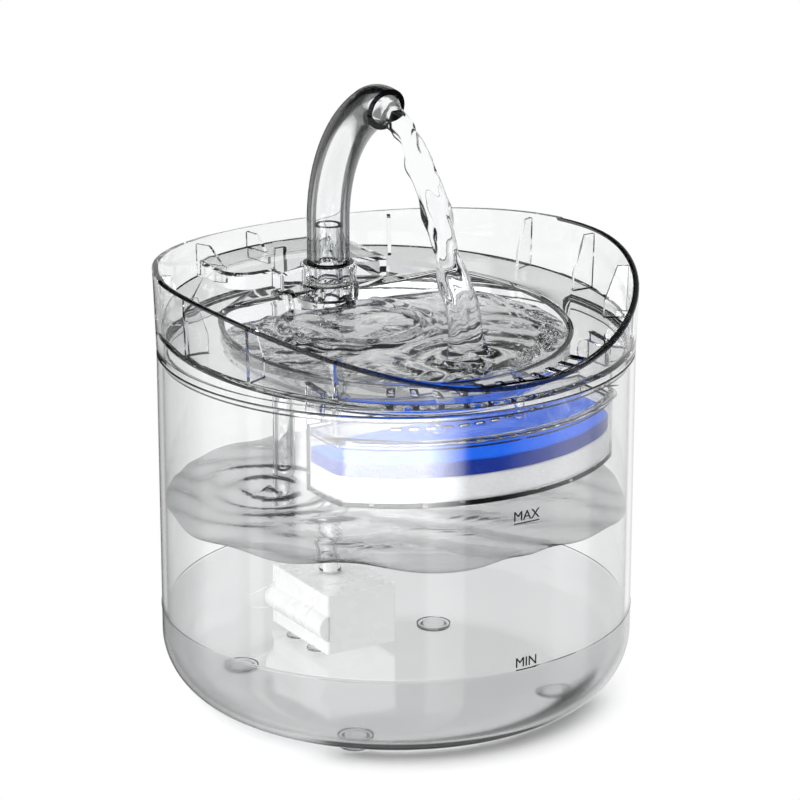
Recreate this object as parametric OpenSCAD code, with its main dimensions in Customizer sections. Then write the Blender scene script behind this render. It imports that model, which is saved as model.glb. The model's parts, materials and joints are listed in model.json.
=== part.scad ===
// Clear pet water fountain: tank, drinking tray, faucet, filter box and submersible pump.
// +Z is up, the front (where the animal drinks) is -Y, the origin is on the table
// under the centre of the tank.

/* [Tank] */
// Outer diameter of the tank at its mouth
tank_d = 185; // [175:1:196]
// Height of the tank's mouth above the table
tank_h = 141; // [135:1:160]
// How much smaller the radius is at the foot
tank_draft = 0.4; // [0:0.1:1]
// Thickness of the tank's wall
tank_wall = 2.3; // [1.8:0.1:3]
// Thickness of the tank's floor
tank_floor = 2.4; // [1.8:0.1:3.2]
// Outer radius of the curve between wall and floor
tank_fillet = 26; // [16:1:32]
// Height of the low-water bead above the table
min_level = 37.5; // [34:0.5:50]
// How far the low-water bead stands proud
bead_proud = 0.3; // [0.2:0.1:0.6]

/* [Feet] */
// Diameter of a foot under the tank
foot_d = 14; // [10:0.5:16]
// How far a foot stands below the tank
foot_h = 1.5; // [1:0.1:3]
// Distance of the feet from the centre
foot_reach = 64; // [50:1:64]
// Depth of the recess that holds a foot
foot_recess = 0.8; // [0.4:0.1:1.2]

/* [Tray skirt] */
// Thickness of the skirt
skirt_wall = 2.4; // [1.8:0.1:3]
// How much the skirt's radius grows up to the rim's crest
skirt_flare = 1.2; // [0:0.1:2.5]
// Height of the rim's crest above the mouth
rim_crest_h = 33.5; // [28:0.5:40]
// Place of the crest behind the centre
rim_crest_y = 5; // [-10:1:20]
// Height of the rim at the front above the mouth
rim_front_h = 8.5; // [7:0.5:14]
// Height of the rim at the back above the mouth
rim_back_h = 27.8; // [22:0.5:32]
// Depth of the ring that centres the tray in the mouth
ring_h = 3; // [2:0.5:6]
// Thickness of that ring
ring_wall = 1.8; // [1.2:0.1:2.4]
// Gap between that ring and the tank
ring_gap = 0.35; // [0.2:0.05:0.8]

/* [Deck and basin] */
// Height of the deck's top above the mouth, at the centre
deck_h = 9.7; // [9:0.1:12]
// Slope of the deck down to the front, in degrees
deck_tilt = 3.9; // [2:0.1:4.5]
// Thickness of the deck
deck_t = 2.2; // [1.6:0.1:2.8]
// Radius of the basin's edge
basin_r = 66; // [56:1:69]
// Place of the basin's back edge behind the centre
basin_back = 43; // [36:1:44]
// Radius of the basin's two back corners
basin_corner = 16; // [8:1:22]
// Depth of the basin
basin_depth = 12; // [8:0.5:13]
// Thickness of the basin's wall and floor
basin_wall = 2.2; // [1.6:0.1:2.8]
// Radius of the basin's rounded edge
basin_round = 1.8; // [1:0.1:2.1]
// Radius of the curve at the basin's floor
basin_cove = 5; // [3:0.5:7]
// Number of drain slots in the front of the deck
drain_count = 11; // [5:2:15]
// Length of a drain slot
drain_l = 7; // [4:0.5:9]
// Width of a drain slot
drain_w = 2.4; // [1.5:0.1:3]
// Angle between drain slots, in degrees
drain_pitch = 6.5; // [5:0.5:8]
// Distance of the drain slots from the centre
drain_r = 77; // [75:0.5:79]

/* [Ribs] */
// Thickness of a rib
rib_t = 1.4; // [1:0.1:2]
// How far a side rib reaches in from the skirt
rib_leg = 8.5; // [6:0.5:11]
// How far a back rib reaches in
rib_back_leg = 13; // [9:0.5:15]

/* [Island] */
// Half width of the island's middle part
island_w = 24; // [21:0.5:28]
// Place of the island's front corners behind the centre
island_front = 47.5; // [47:0.5:49]
// Place of the island's recessed front behind the centre
island_recess = 53; // [51:0.5:55]
// Reach of the wing beside the island
wing_reach = 42; // [36:0.5:48]
// Place of the wing's front behind the centre
wing_front = 55; // [52:0.5:60]
// Radius of the wing's corner
wing_round = 10; // [5:0.5:14]
// Height of the island's top above the mouth
island_h = 20.5; // [19:0.5:24]
// Thickness of the island's walls and top
island_wall = 2; // [1.4:0.1:2.6]
// Width of the cable slot at the back
cable_slot_w = 5; // [4.5:0.1:7]
// Outer diameter of the cable duct under the island
duct_d = 9; // [8:0.5:10]
// Bore of the cable duct
duct_bore = 5.6; // [4.5:0.1:6.5]
// Depth of the duct's lower end below the mouth
duct_drop = 75; // [55:1:90]

/* [Faucet] */
// Place of the faucet behind the centre
faucet_y = 52; // [50:0.5:53]
// Outer diameter of the faucet's socket
boss_d = 22.5; // [20.5:0.5:25]
// Depth of the faucet's socket
socket_depth = 14.5; // [12:0.5:15]
// Outer diameter of the faucet's tube
tube_d = 17; // [15:0.1:18]
// Bore of the faucet's tube
tube_bore = 12; // [11:0.1:13]
// Running gap around the parts that turn or slide
run_gap = 0.05; // [0.03:0.01:0.1]
// Bore of the connector inside the tube
connector_bore = 8; // [6:0.1:9]
// How far the connector stays below the start of the spout's bend
connector_short = 0.5; // [0.3:0.1:3]
// Height of the straight part of the spout above its lower end
spout_straight = 16.2; // [12:0.1:40]
// Radius of the spout's lower bend
bend_1_r = 60; // [40:1:70]
// Turn of the lower bend, in degrees
bend_1_deg = 60; // [35:1:65]
// Radius of the spout's upper bend
bend_2_r = 15; // [12:1:36]
// Turn of the upper bend, in degrees
bend_2_deg = 43.5; // [30:0.5:70]
// Turn of the spout to the side when it stands at rest, in degrees
spout_turn = 3; // [-10:1:10]
// Thickness of the seal ring's cord
o_ring_cord = 1.6; // [1.2:0.1:2]

/* [Riser] */
// Outer diameter of the riser tube
riser_d = 9; // [8:0.1:10]
// Bore of the riser tube
riser_bore = 6.2; // [5:0.1:7]
// Depth of the riser's seat in the tray
riser_seat = 7.5; // [5:0.5:9]
// Outer diameter of the riser's seat
riser_seat_d = 13; // [12:0.5:15]

/* [Filter box] */
// Gap between the box's lip and the tank's wall
box_gap = 3.2; // [2.5:0.1:6]
// Half width of the box
box_w = 61; // [52:1:64]
// Place of the box's back wall in front of the centre
box_back = 37; // [30:1:45]
// Depth of the box's lip below the tank's mouth
box_drop = 11.5; // [11:0.5:15]
// Depth of the box below its lip
box_depth = 26; // [24:0.5:40]
// Thickness of the box's walls and floor
box_wall = 1.5; // [1.2:0.1:2.2]
// Width of the box's lip
box_lip = 2; // [1:0.5:2.5]
// Thickness of the box's lid
lid_t = 1.6; // [1.2:0.1:2]
// Length of a slot in the lid
slot_l = 3.7; // [2:0.1:4.5]
// Width of a slot in the lid
slot_w = 1.8; // [1.2:0.1:2.5]
// Number of slots in the lid
slot_count = 12; // [6:2:16]
// Distance between slots along the row
slot_pitch = 6.5; // [5.5:0.1:7.5]
// Distance of the slots from the box's curved front
slot_inset = 19; // [13:0.5:24]
// Diameter of the pegs that locate the lid
peg_d = 4; // [3:0.1:5]
// Distance of each peg from the middle
peg_x = 18; // [12:0.5:24]
// Diameter of a hole in the box's floor
hole_d = 3; // [2:0.1:4]
// Distance between the holes across the box
hole_pitch_x = 15; // [10:0.5:20]
// Distance between the holes from back to front
hole_pitch_y = 12; // [8:0.5:15]
// Thickness of the blue sponge
sponge_t = 6.6; // [4:0.1:7]
// Thickness of the white cotton pad
cotton_t = 9.6; // [8:0.1:10]
// Thickness of the carbon core inside the pad
carbon_t = 4.5; // [3:0.1:6]
// Gap around soft and loose pieces
soft_gap = 0.3; // [0.2:0.05:0.5]

/* [Pump] */
// Width of the pump
pump_w = 32; // [31:0.5:38]
// Height of the pump's body
pump_h = 25; // [24.6:0.2:32]
// Place of the pump's front behind the centre
pump_front = 26.5; // [22:0.5:28]
// Depth of the slotted cover
cover_l = 12; // [10:0.5:14]
// Thickness of the pump's walls
pump_wall = 1.6; // [1.2:0.1:1.8]
// Radius of the pump's upright edges
pump_round = 2.5; // [1.6:0.1:4]
// Clearance under the pump, filled by its suction cups
cup_h = 3.1; // [2.4:0.1:5]
// Diameter of a suction cup
cup_d = 10; // [7:0.5:12]
// Height of the rotor's axis above the pump's base
axis_h = 14.5; // [14.2:0.1:16]
// Radius of the impeller chamber
chamber_r = 8.2; // [7.6:0.1:8.6]
// Length of the impeller chamber
chamber_l = 9; // [7:0.5:10]
// Bore radius of the rotor's can
can_r = 6; // [5.4:0.1:6.2]
// Thickness of the can
can_wall = 1; // [0.8:0.1:1.2]
// Length of the can
can_l = 12.8; // [11:0.2:14]
// Radius of the ceramic shaft
shaft_r = 1; // [0.8:0.1:1.2]
// Outer diameter of the outlet nozzle
nozzle_d = 6; // [4.8:0.1:6.4]
// Length of the outlet nozzle
nozzle_l = 12; // [8:0.5:16]
// Bore of the outlet nozzle
nozzle_bore = 4; // [3:0.1:4.4]
// Number of impeller blades
blade_count = 6; // [4:1:8]
// Radius of the half-round pod on the pump's left side
pod_r = 5.6; // [4:0.1:6]

/* [Hidden] */
$fn = 96;
eps = 0.01;
reach = 400;

// Tank
tank_r = tank_d / 2;
foot_r = tank_r - tank_draft;
floor_z = foot_h + tank_floor;
inner_mouth_r = tank_r - tank_wall;
flat_floor_r = foot_r - tank_fillet;

// Tray
crest_z = tank_h + rim_crest_h;
skirt_top_z = crest_z + 4;
front_drop = rim_crest_h - rim_front_h;
back_drop = rim_crest_h - rim_back_h;
front_run = tank_r + rim_crest_y;
back_run = tank_r - rim_crest_y;
front_arc_r = (front_run * front_run + front_drop * front_drop) / (2 * front_drop);
back_arc_r = (back_run * back_run + back_drop * back_drop) / (2 * back_drop);
skirt_in_r = tank_r - skirt_wall;
deck_z = tank_h + deck_h;
side_rib_angles = [45, 67.5, 90, 112.5];
back_rib_angles = [151, 170];
corner_y = basin_back - basin_corner;
corner_blend = 0.1;
corner_x = sqrt(pow(basin_r - basin_corner + corner_blend, 2) - pow(corner_y, 2));
corner_deg = atan2(corner_y, corner_x);
island_z = tank_h + island_h;
duct_x = -island_w + 1.6;
duct_y = basin_back + basin_wall + duct_d / 2 - 0.2;
duct_foot = tank_h - duct_drop;

// Faucet
socket_z = island_z - socket_depth;
base_r = tube_d / 2;
connector_r = tube_bore / 2 - run_gap;
spout_z = island_z + 0.3;
bend_z = spout_z + spout_straight;
connector_top = bend_z - connector_short;
riser_stop_z = socket_z - 2.5;
riser_seat_z = riser_stop_z - riser_seat;

// Filter box
box_r = inner_mouth_r - box_gap - box_lip;
box_top = tank_h - box_drop;
box_floor_z = box_top - box_depth;
slot_r = box_r - slot_inset;
box_in_r = box_r - box_wall;
ear_top_z = tank_h + 2;
lid_z = box_top - lid_t - 0.9;
cotton_z = box_floor_z + box_wall;
sponge_z = cotton_z + cotton_t;
ledge_h = 1.2;
peg_y = -box_back - 22;

// Pump
pump_z = floor_z + cup_h;
pump_top_z = pump_z + pump_h;
axis_z = pump_z + axis_h;
cover_gap = 0.2;
housing_y = pump_front + cover_l + cover_gap;
chamber_y = faucet_y - chamber_l / 2;
can_y = chamber_y + chamber_l;
can_end_y = can_y + can_l;
cap_t = 2.4;
cap_r = chamber_r + 1.2;
bulkhead_y = chamber_y - cap_t - 0.6;
motor_y = can_y + 1.8;
motor_end_y = can_end_y + can_wall + 0.2;
rear_t = 1.5;
pump_end_y = motor_end_y + rear_t;
tongue_l = 3;
tongue_t = 1;
bush_t = 1.7;
core_l = 8;
core_y = (motor_y + motor_end_y) / 2 - core_l / 2;
leg_t = 4.6;
leg_x = can_r + can_wall + 0.4;
yoke_t = 1.8;
bobbin_t = 0.4;
coil_t = 1.2;
coil_z = pump_z + pump_wall + 0.3;
yoke_z = coil_z + coil_t + bobbin_t;
pod_z = pump_z + 11.4;
pod_x = -pump_w / 2 + 1.8;
gland_x = -pump_w / 2 + 6;
gland_z = pump_z + 19;
gland_r = 2.8;
gland_bore = 1.7;
cup_x = pump_w / 2 - 5.5;
cup_front_y = housing_y + 4.5;
cup_rear_y = min(pump_end_y - 6, sqrt(pow(flat_floor_r - cup_d / 2 - 0.2, 2) - pow(cup_x, 2)));
intake_y = pump_front + pump_wall;
intake_l = housing_y - tongue_l - intake_y;
gate_t = 1.2;
knob_w = 1.8;
stud_r = 1.5;
stud_h = 1.1;

// ---------- helpers ----------

// The height of the rim's cut at a distance y behind the centre
function rim_z(y) = y < rim_crest_y
    ? crest_z - front_arc_r + sqrt(pow(front_arc_r, 2) - pow(y - rim_crest_y, 2))
    : crest_z - back_arc_r + sqrt(pow(back_arc_r, 2) - pow(y - rim_crest_y, 2));

// The height of the deck's top at a distance y behind the centre
function deck_top(y) = deck_z + y * tan(deck_tilt);

// A rectangle with rounded corners, centred
module rounded_rect(w, h, r) {
    square([w - 2 * r, h], center = true);
    square([w, h - 2 * r], center = true);
    for (sx = [-1, 1], sy = [-1, 1])
        translate([sx * (w / 2 - r), sy * (h / 2 - r)]) circle(r);
}

// The frame that follows the deck's slope; its z = 0 is the deck's top
module on_deck() {
    translate([0, 0, deck_z]) rotate([deck_tilt, 0, 0]) children();
}

// A section whose outer side is x, from z0 up to z1, with its lower corner rounded by r
module cove_section(x, z0, z1, r) {
    polygon([[0, z0], [x - r, z0], [x, z0 + r], [x, z1], [0, z1]]);
    intersection() {
        translate([x - r, z0 + r]) circle(r);
        translate([0, z0]) square([x + 1, r]);
    }
}

// The section of the basin's hollow at a wall that is x from its centre
module hollow_section(x) {
    cove_section(x, -basin_depth, 5, basin_cove);
    difference() {
        translate([0, -basin_round]) square([x + basin_round, basin_round + 5]);
        translate([x + basin_round, -basin_round]) circle(basin_round);
    }
}

// The section of the basin's outside
module shell_section(x) {
    cove_section(x + basin_wall, -basin_depth - basin_wall, -deck_t / 2, basin_cove + basin_wall - 1);
}

module basin_section(hollow, x) {
    if (hollow) hollow_section(x);
    else shell_section(x);
}

// The basin's hollow or its outside: a round dish with a straight back and two round corners
module basin_solid(hollow) {
    difference() {
        rotate_extrude() basin_section(hollow, basin_r);
        linear_extrude(reach, center = true)
            polygon([[0, 0], [reach * cos(corner_deg), reach * sin(corner_deg)],
                     [-reach * cos(corner_deg), reach * sin(corner_deg)]]);
    }
    for (s = [-1, 1]) translate([s * corner_x, corner_y, 0])
        rotate_extrude() basin_section(hollow, basin_corner);
    translate([-corner_x - 0.9, 0, 0]) rotate([90, 0, 90])
        linear_extrude(2 * corner_x + 1.8) basin_section(hollow, basin_back - corner_blend);
}

// The island's outline, shrunk by d
module island_plan(d) {
    polygon([[-island_w + d, island_front + d], [-boss_d / 2, island_recess + d],
             [boss_d / 2, island_recess + d], [island_w - d, island_front + d],
             [island_w - d, reach], [-island_w + d, reach]]);
    translate([-wing_reach + wing_round, wing_front + wing_round]) circle(wing_round - d);
    translate([-wing_reach + wing_round, wing_front + d]) square([wing_reach - wing_round, reach]);
    translate([-wing_reach + d, wing_front + wing_round]) square([wing_reach - d, reach]);
}

// A straight rod along +Y
module rod_y(r, l) { rotate([-90, 0, 0]) cylinder(r = r, h = l); }

// A block with rounded upright corners, from y0 to y1
module pump_block(w, y0, y1, z0, z1, r) {
    translate([0, (y0 + y1) / 2, z0]) linear_extrude(z1 - z0) rounded_rect(w, y1 - y0, r);
}

// ---------- tank ----------

module tank() {
    in_fillet = max(tank_fillet - tank_wall, 2);
    color([0.93, 0.95, 0.96, 0.35])
    difference() {
        rotate_extrude() difference() {
            union() {
                polygon([[0, foot_h], [foot_r - tank_fillet, foot_h],
                         [foot_r, foot_h + tank_fillet], [tank_r, tank_h], [0, tank_h]]);
                intersection() {
                    translate([foot_r - tank_fillet, foot_h + tank_fillet]) circle(tank_fillet);
                    translate([0, foot_h]) square([reach, tank_fillet]);
                }
                translate([foot_r - 1, min_level - 0.6]) square([1 + bead_proud, 1.2]);
            }
            polygon([[0, floor_z], [foot_r - tank_wall - in_fillet, floor_z],
                     [foot_r - tank_wall, floor_z + in_fillet], [inner_mouth_r, tank_h + eps],
                     [0, tank_h + eps]]);
            intersection() {
                translate([foot_r - tank_wall - in_fillet, floor_z + in_fillet])
                    circle(in_fillet);
                translate([0, floor_z]) square([reach, in_fillet]);
            }
        }
        for (a = [45:90:315]) rotate([0, 0, a]) translate([foot_reach, 0, -eps])
            cylinder(d = foot_d, h = foot_h + foot_recess + eps);
    }
}

module tank_feet() {
    color([0.90, 0.91, 0.92, 0.6])
    for (a = [45:90:315]) rotate([0, 0, a]) translate([foot_reach, 0, 0]) {
        cylinder(d1 = foot_d - 1, d2 = foot_d, h = foot_h / 2);
        translate([0, 0, foot_h / 2]) cylinder(d = foot_d, h = foot_h / 2 + foot_recess);
    }
}

// ---------- tray ----------

module skirt() {
    top_r = tank_r + skirt_flare * (skirt_top_z - tank_h) / rim_crest_h;
    difference() {
        rotate_extrude() {
            polygon([[skirt_in_r, tank_h], [tank_r, tank_h], [top_r, skirt_top_z],
                     [top_r - skirt_wall, skirt_top_z]]);
            translate([inner_mouth_r - ring_gap - ring_wall, tank_h - ring_h])
                square([ring_wall, ring_h + 2]);
            translate([inner_mouth_r - ring_gap - ring_wall, tank_h])
                square([ring_wall + ring_gap + tank_wall / 2, 2]);
        }
        rotate([90, 0, 90]) linear_extrude(reach, center = true) difference() {
            translate([-reach / 2, tank_h - 2]) square([reach, reach / 2]);
            intersection() {
                translate([rim_crest_y, crest_z - front_arc_r]) circle(front_arc_r, $fn = 200);
                translate([rim_crest_y - reach, -2 * reach]) square([reach, 3 * reach]);
            }
            intersection() {
                translate([rim_crest_y, crest_z - back_arc_r]) circle(back_arc_r, $fn = 200);
                translate([rim_crest_y, -2 * reach]) square([reach, 3 * reach]);
            }
        }
    }
}

// One upright rib between the skirt and the deck; deg is its place, 0 at the front
module rib(deg, leg) {
    y = -skirt_in_r * cos(deg);
    low = deck_top(y) - deck_t / 2;
    top = rim_z(y) - 1.6;
    step = low + (top - low) * 0.35;
    rotate([0, 0, deg]) translate([rib_t / 2, -skirt_in_r - 1, 0]) rotate([90, 0, -90])
        linear_extrude(rib_t)
            polygon([[0, low], [-leg - 1, low], [-leg - 1, step], [-leg * 0.4 - 1, top], [0, top]]);
}

module ribs() {
    for (s = [-1, 1]) {
        for (a = side_rib_angles) rib(s * a, rib_leg);
        for (a = back_rib_angles) rib(s * a, rib_back_leg);
    }
}

module deck_and_basin() {
    difference() {
        union() {
            intersection() {
                on_deck() translate([0, 0, -deck_t]) cylinder(r = tank_r + 20, h = deck_t);
                cylinder(r = skirt_in_r + 1, h = reach);
            }
            on_deck() basin_solid(false);
        }
        on_deck() basin_solid(true);
        // drain slots in the front of the deck
        for (i = [0:drain_count - 1]) {
            rotate([0, 0, (i - (drain_count - 1) / 2) * drain_pitch])
                translate([-drain_w / 2, -drain_r - drain_l / 2, tank_h])
                    cube([drain_w, drain_l, 30]);
        }
    }
}

module island() {
    intersection() {
        translate([0, 0, tank_h]) linear_extrude(island_h) island_plan(0);
        on_deck() translate([0, 0, -deck_t]) cylinder(r = tank_r + 20, h = 40);
        cylinder(r = skirt_in_r + 1, h = reach);
    }
}

// The hollow under the island, open to the tank below
module island_hollow() {
    intersection() {
        translate([0, 0, tank_h - 10]) linear_extrude(island_h + 10 - island_wall)
            island_plan(island_wall);
        cylinder(r = skirt_in_r, h = reach);
    }
}

module tray() {
    color([0.93, 0.95, 0.96, 0.35])
    difference() {
        union() {
            skirt();
            ribs();
            difference() {
                union() {
                    deck_and_basin();
                    island();
                }
                island_hollow();
            }
            // faucet socket and the riser's seat below it
            translate([0, faucet_y, socket_z - 7]) cylinder(d = boss_d, h = socket_depth + 7);
            translate([0, faucet_y, riser_seat_z])
                cylinder(d = riser_seat_d, h = socket_z - riser_seat_z);
            translate([duct_x, duct_y, duct_foot])
                cylinder(d = duct_d, h = deck_z - duct_foot + 1);
            // pegs under the basin that locate the filter box's lid
            for (s = [-1, 1]) translate([s * peg_x, peg_y, lid_z - 3])
                cylinder(d = peg_d, h = deck_top(peg_y) - basin_depth - basin_wall / 2 - lid_z + 3);
            // guides for the ears of the filter box
            for (s = [-1, 1]) translate([s * (box_w + 1.8), -box_back - 10, ear_top_z - 8])
                translate([-1, -6, 0]) cube([2, 12, deck_z - ear_top_z + 4]);
        }
        translate([0, faucet_y, socket_z]) cylinder(r = base_r + run_gap, h = reach);
        translate([0, faucet_y, riser_seat_z]) cylinder(d = connector_bore, h = reach);
        translate([0, faucet_y, riser_seat_z - 1])
            cylinder(r = riser_d / 2, h = riser_seat + 1);
        translate([duct_x, duct_y, duct_foot - 1])
            cylinder(d = duct_bore, h = deck_z - duct_foot + 3);
        translate([-cable_slot_w / 2, skirt_in_r - 4, tank_h - ring_h - 1])
            cube([cable_slot_w, 20, ring_h + 1 + deck_top(skirt_in_r) - tank_h]);
    }
}

// ---------- faucet ----------

module faucet_base() {
    o_ring_z = socket_z + socket_depth / 2;
    color([0.93, 0.95, 0.96, 0.35])
    translate([0, faucet_y, 0]) difference() {
        union() {
            translate([0, 0, socket_z]) cylinder(r = base_r, h = socket_depth);
            translate([0, 0, island_z]) cylinder(r = base_r + 1.6, h = 0.3);
            translate([0, 0, socket_z]) cylinder(r = connector_r, h = connector_top - socket_z);
        }
        translate([0, 0, socket_z - 1])
            cylinder(d = connector_bore, h = connector_top - socket_z + 2);
        translate([0, 0, o_ring_z - o_ring_cord / 2]) difference() {
            cylinder(r = base_r + 1, h = o_ring_cord);
            translate([0, 0, -1]) cylinder(r = base_r + run_gap - o_ring_cord, h = o_ring_cord + 2);
        }
    }
}

module faucet_o_ring() {
    o_ring_z = socket_z + socket_depth / 2;
    color([0.86, 0.86, 0.84])
    translate([0, faucet_y, o_ring_z]) rotate_extrude()
        translate([base_r + run_gap - o_ring_cord / 2, 0]) circle(o_ring_cord / 2);
}

// The spout's section
module tube_ring() {
    difference() {
        circle(d = tube_d);
        circle(d = tube_bore);
    }
}

module spout() {
    color([0.93, 0.95, 0.96, 0.35])
    translate([0, faucet_y, 0]) rotate([0, 0, spout_turn]) {
        translate([0, 0, spout_z]) linear_extrude(spout_straight) tube_ring();
        translate([0, -bend_1_r, bend_z]) rotate([90, 0, 90])
            rotate_extrude(angle = bend_1_deg) translate([bend_1_r, 0]) tube_ring();
        translate([0, -bend_1_r + (bend_1_r - bend_2_r) * cos(bend_1_deg),
                   bend_z + (bend_1_r - bend_2_r) * sin(bend_1_deg)])
            rotate([90, 0, 90]) rotate([0, 0, bend_1_deg])
                rotate_extrude(angle = bend_2_deg) translate([bend_2_r, 0]) tube_ring();
        // the mould's parting bead where the two bends meet
        translate([0, -bend_1_r, bend_z]) rotate([90, 0, 90]) rotate([0, 0, bend_1_deg])
            translate([bend_1_r, -0.5, 0]) rotate([-90, 0, 0]) difference() {
                cylinder(d = tube_d + 0.1, h = 1);
                translate([0, 0, -1]) cylinder(d = tube_bore - 0.1, h = 3);
            }
    }
}

module riser_tube() {
    low = pump_top_z + 1.2;
    color([0.92, 0.94, 0.95, 0.4])
    translate([0, faucet_y, low]) difference() {
        cylinder(d = riser_d, h = riser_stop_z - low);
        translate([0, 0, -1]) cylinder(d = riser_bore, h = reach);
    }
}

// ---------- filter box ----------

// The D-shaped outline of the box, shrunk by d
module box_plan(d) {
    intersection() {
        circle(box_r - d);
        translate([-box_w + d, -reach]) square([2 * (box_w - d), reach - box_back - d]);
    }
}

module filter_box() {
    ear_w = 10;
    ear_y = -box_back - 10;
    color([0.93, 0.95, 0.96, 0.35])
    difference() {
        union() {
            translate([0, 0, box_floor_z]) linear_extrude(box_depth) box_plan(0);
            intersection() {
                translate([0, 0, box_top - 1.2]) cylinder(r = box_r + box_lip, h = 1.2);
                translate([-box_w, -reach, 0]) cube([2 * box_w, reach - box_back, reach]);
            }
            // an ear at each end, with a round top, that slides up between the tray's guides
            for (s = [-1, 1]) translate([s * (box_w - box_wall / 2), ear_y, 0]) {
                translate([-box_wall / 2, -ear_w, box_top - 2])
                    cube([box_wall, 2 * ear_w, ear_top_z - box_top - 3]);
                translate([-box_wall / 2, -ear_w + 5, box_top - 2])
                    cube([box_wall, 2 * ear_w - 10, ear_top_z - box_top + 2]);
                for (e = [-1, 1]) translate([-box_wall / 2, e * (ear_w - 5), ear_top_z - 5])
                    rotate([0, 90, 0]) cylinder(r = 5, h = box_wall);
            }
        }
        translate([0, 0, box_floor_z + box_wall])
            linear_extrude(lid_z - ledge_h - box_floor_z - box_wall) box_plan(box_wall);
        // a ledge that the lid rests on
        translate([0, 0, box_floor_z + box_wall + 1]) linear_extrude(reach) box_plan(box_wall + 1);
        translate([0, 0, lid_z]) linear_extrude(reach) box_plan(box_wall);
        // drain holes in the floor
        for (i = [-4:4], j = [0:3]) {
            x = i * hole_pitch_x;
            y = -box_back - 9 - j * hole_pitch_y;
            if (norm([x, y]) < box_in_r - 4 && abs(x) < box_w - 10)
                translate([x, y, box_floor_z - 1]) cylinder(d = hole_d, h = box_wall + 2);
        }
    }
}

module filter_lid() {
    slot_deg = slot_pitch / slot_r * 180 / PI;
    color([0.93, 0.95, 0.96, 0.35])
    difference() {
        union() {
            translate([0, 0, lid_z]) linear_extrude(lid_t) box_plan(box_wall + 0.1);
            for (s = [-1, 1]) translate([s * peg_x, peg_y, lid_z - 2.2]) cylinder(d = peg_d + 2.4, h = 3);
        }
        for (i = [0:slot_count - 1])
            rotate([0, 0, (i - (slot_count - 1) / 2) * slot_deg])
                translate([-slot_l / 2, -slot_r - slot_w / 2, lid_z - 1])
                    cube([slot_l, slot_w, lid_t + 2]);
        for (s = [-1, 1]) translate([s * peg_x, peg_y, lid_z - 3])
            cylinder(d = peg_d + 2 * run_gap, h = lid_t + 5);
    }
}

module filter_sponge() {
    color([0.05, 0.32, 0.92])
    translate([0, 0, sponge_z]) linear_extrude(sponge_t) box_plan(box_wall + soft_gap);
}

module filter_cotton() {
    color([0.96, 0.96, 0.95])
    difference() {
        translate([0, 0, cotton_z]) linear_extrude(cotton_t) box_plan(box_wall + soft_gap);
        translate([0, 0, cotton_z + (cotton_t - carbon_t) / 2]) linear_extrude(carbon_t)
            box_plan(box_wall + 5);
    }
}

module carbon_core() {
    color([0.16, 0.16, 0.17])
    translate([0, 0, cotton_z + (cotton_t - carbon_t) / 2]) linear_extrude(carbon_t)
        box_plan(box_wall + 5);
}

// ---------- pump ----------

module pod(y0, y1) {
    intersection() {
        translate([pod_x, y0, pod_z]) rod_y(pod_r, y1 - y0);
        translate([-reach - pump_w / 2 + 1, y0, 0]) cube([reach, y1 - y0, reach]);
    }
}

module pump_housing() {
    color([0.95, 0.95, 0.94])
    difference() {
        union() {
            pump_block(pump_w, housing_y, motor_end_y, pump_z, pump_top_z, pump_round / 2);
            pod(housing_y, motor_end_y);
            // tongue that the cover slides over
            translate([0, housing_y - tongue_l, 0]) tongue_block(pump_wall + 0.1, tongue_l + 2);
            translate([0, faucet_y, pump_top_z - 1]) cylinder(d = nozzle_d, h = nozzle_l + 1);
        }
        // front hollow, up to the bulkhead
        translate([0, housing_y - tongue_l - 1, 0])
            tongue_block(pump_wall + 0.1 + tongue_t, bulkhead_y - housing_y + tongue_l + 1);
        translate([0, bulkhead_y - 1, axis_z]) rod_y(cap_r + 0.1, chamber_y - bulkhead_y + 1);
        translate([0, chamber_y - 1, axis_z]) rod_y(chamber_r, chamber_l + 1);
        translate([0, can_y - 1, axis_z]) rod_y(can_r, can_l + 1);
        // motor space around the can
        difference() {
            translate([0, motor_y, 0]) tongue_block(pump_wall, motor_end_y - motor_y + 1);
            translate([0, motor_y - 1, axis_z]) rod_y(can_r + can_wall, can_l - 0.8 + can_wall);
        }
        translate([0, faucet_y, axis_z]) cylinder(d = nozzle_bore, h = reach);
        for (s = [-1, 1], y = [cup_front_y, cup_rear_y])
            translate([s * cup_x, y, pump_z - 1]) cylinder(r = stud_r, h = stud_h + 1);
    }
}

// A plain block inside the pump's outline, inset by d on its four sides
module tongue_block(d, l) {
    translate([-pump_w / 2 + d, 0, pump_z + d]) cube([pump_w - 2 * d, l, pump_h - 2 * d]);
}

module pump_cover() {
    slot_n = 5;
    side_x = pump_w / 2 - pump_wall - 1;
    color([0.95, 0.95, 0.94])
    difference() {
        union() {
            pump_block(pump_w, pump_front, pump_front + cover_l, pump_z, pump_top_z, pump_round / 2);
            pod(pump_front, pump_front + cover_l);
        }
        translate([0, pump_front + pump_wall, 0]) tongue_block(pump_wall, cover_l);
        // intake slots in the side, and the upright slot of the gate's knob
        for (i = [0:slot_n - 1])
            translate([side_x, intake_y + 0.6, pump_z + 5 + i * 3.4])
                cube([pump_wall + 2, intake_l - knob_w - 1.8, 1.5]);
        translate([side_x, intake_y + intake_l - knob_w - 0.7, pump_z + 5.4])
            cube([pump_wall + 2, knob_w + 0.2, 13]);
    }
}

module flow_slider() {
    color([0.80, 0.81, 0.82])
    translate([pump_w / 2 - pump_wall - 0.2 - gate_t, intake_y + 0.3, pump_z + 2.5]) {
        cube([gate_t, intake_l - 0.5, 6.5]);
        translate([gate_t - 0.2, intake_l - knob_w - 0.9, 3]) cube([pump_wall + 1.4, knob_w, 2.5]);
    }
}

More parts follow.
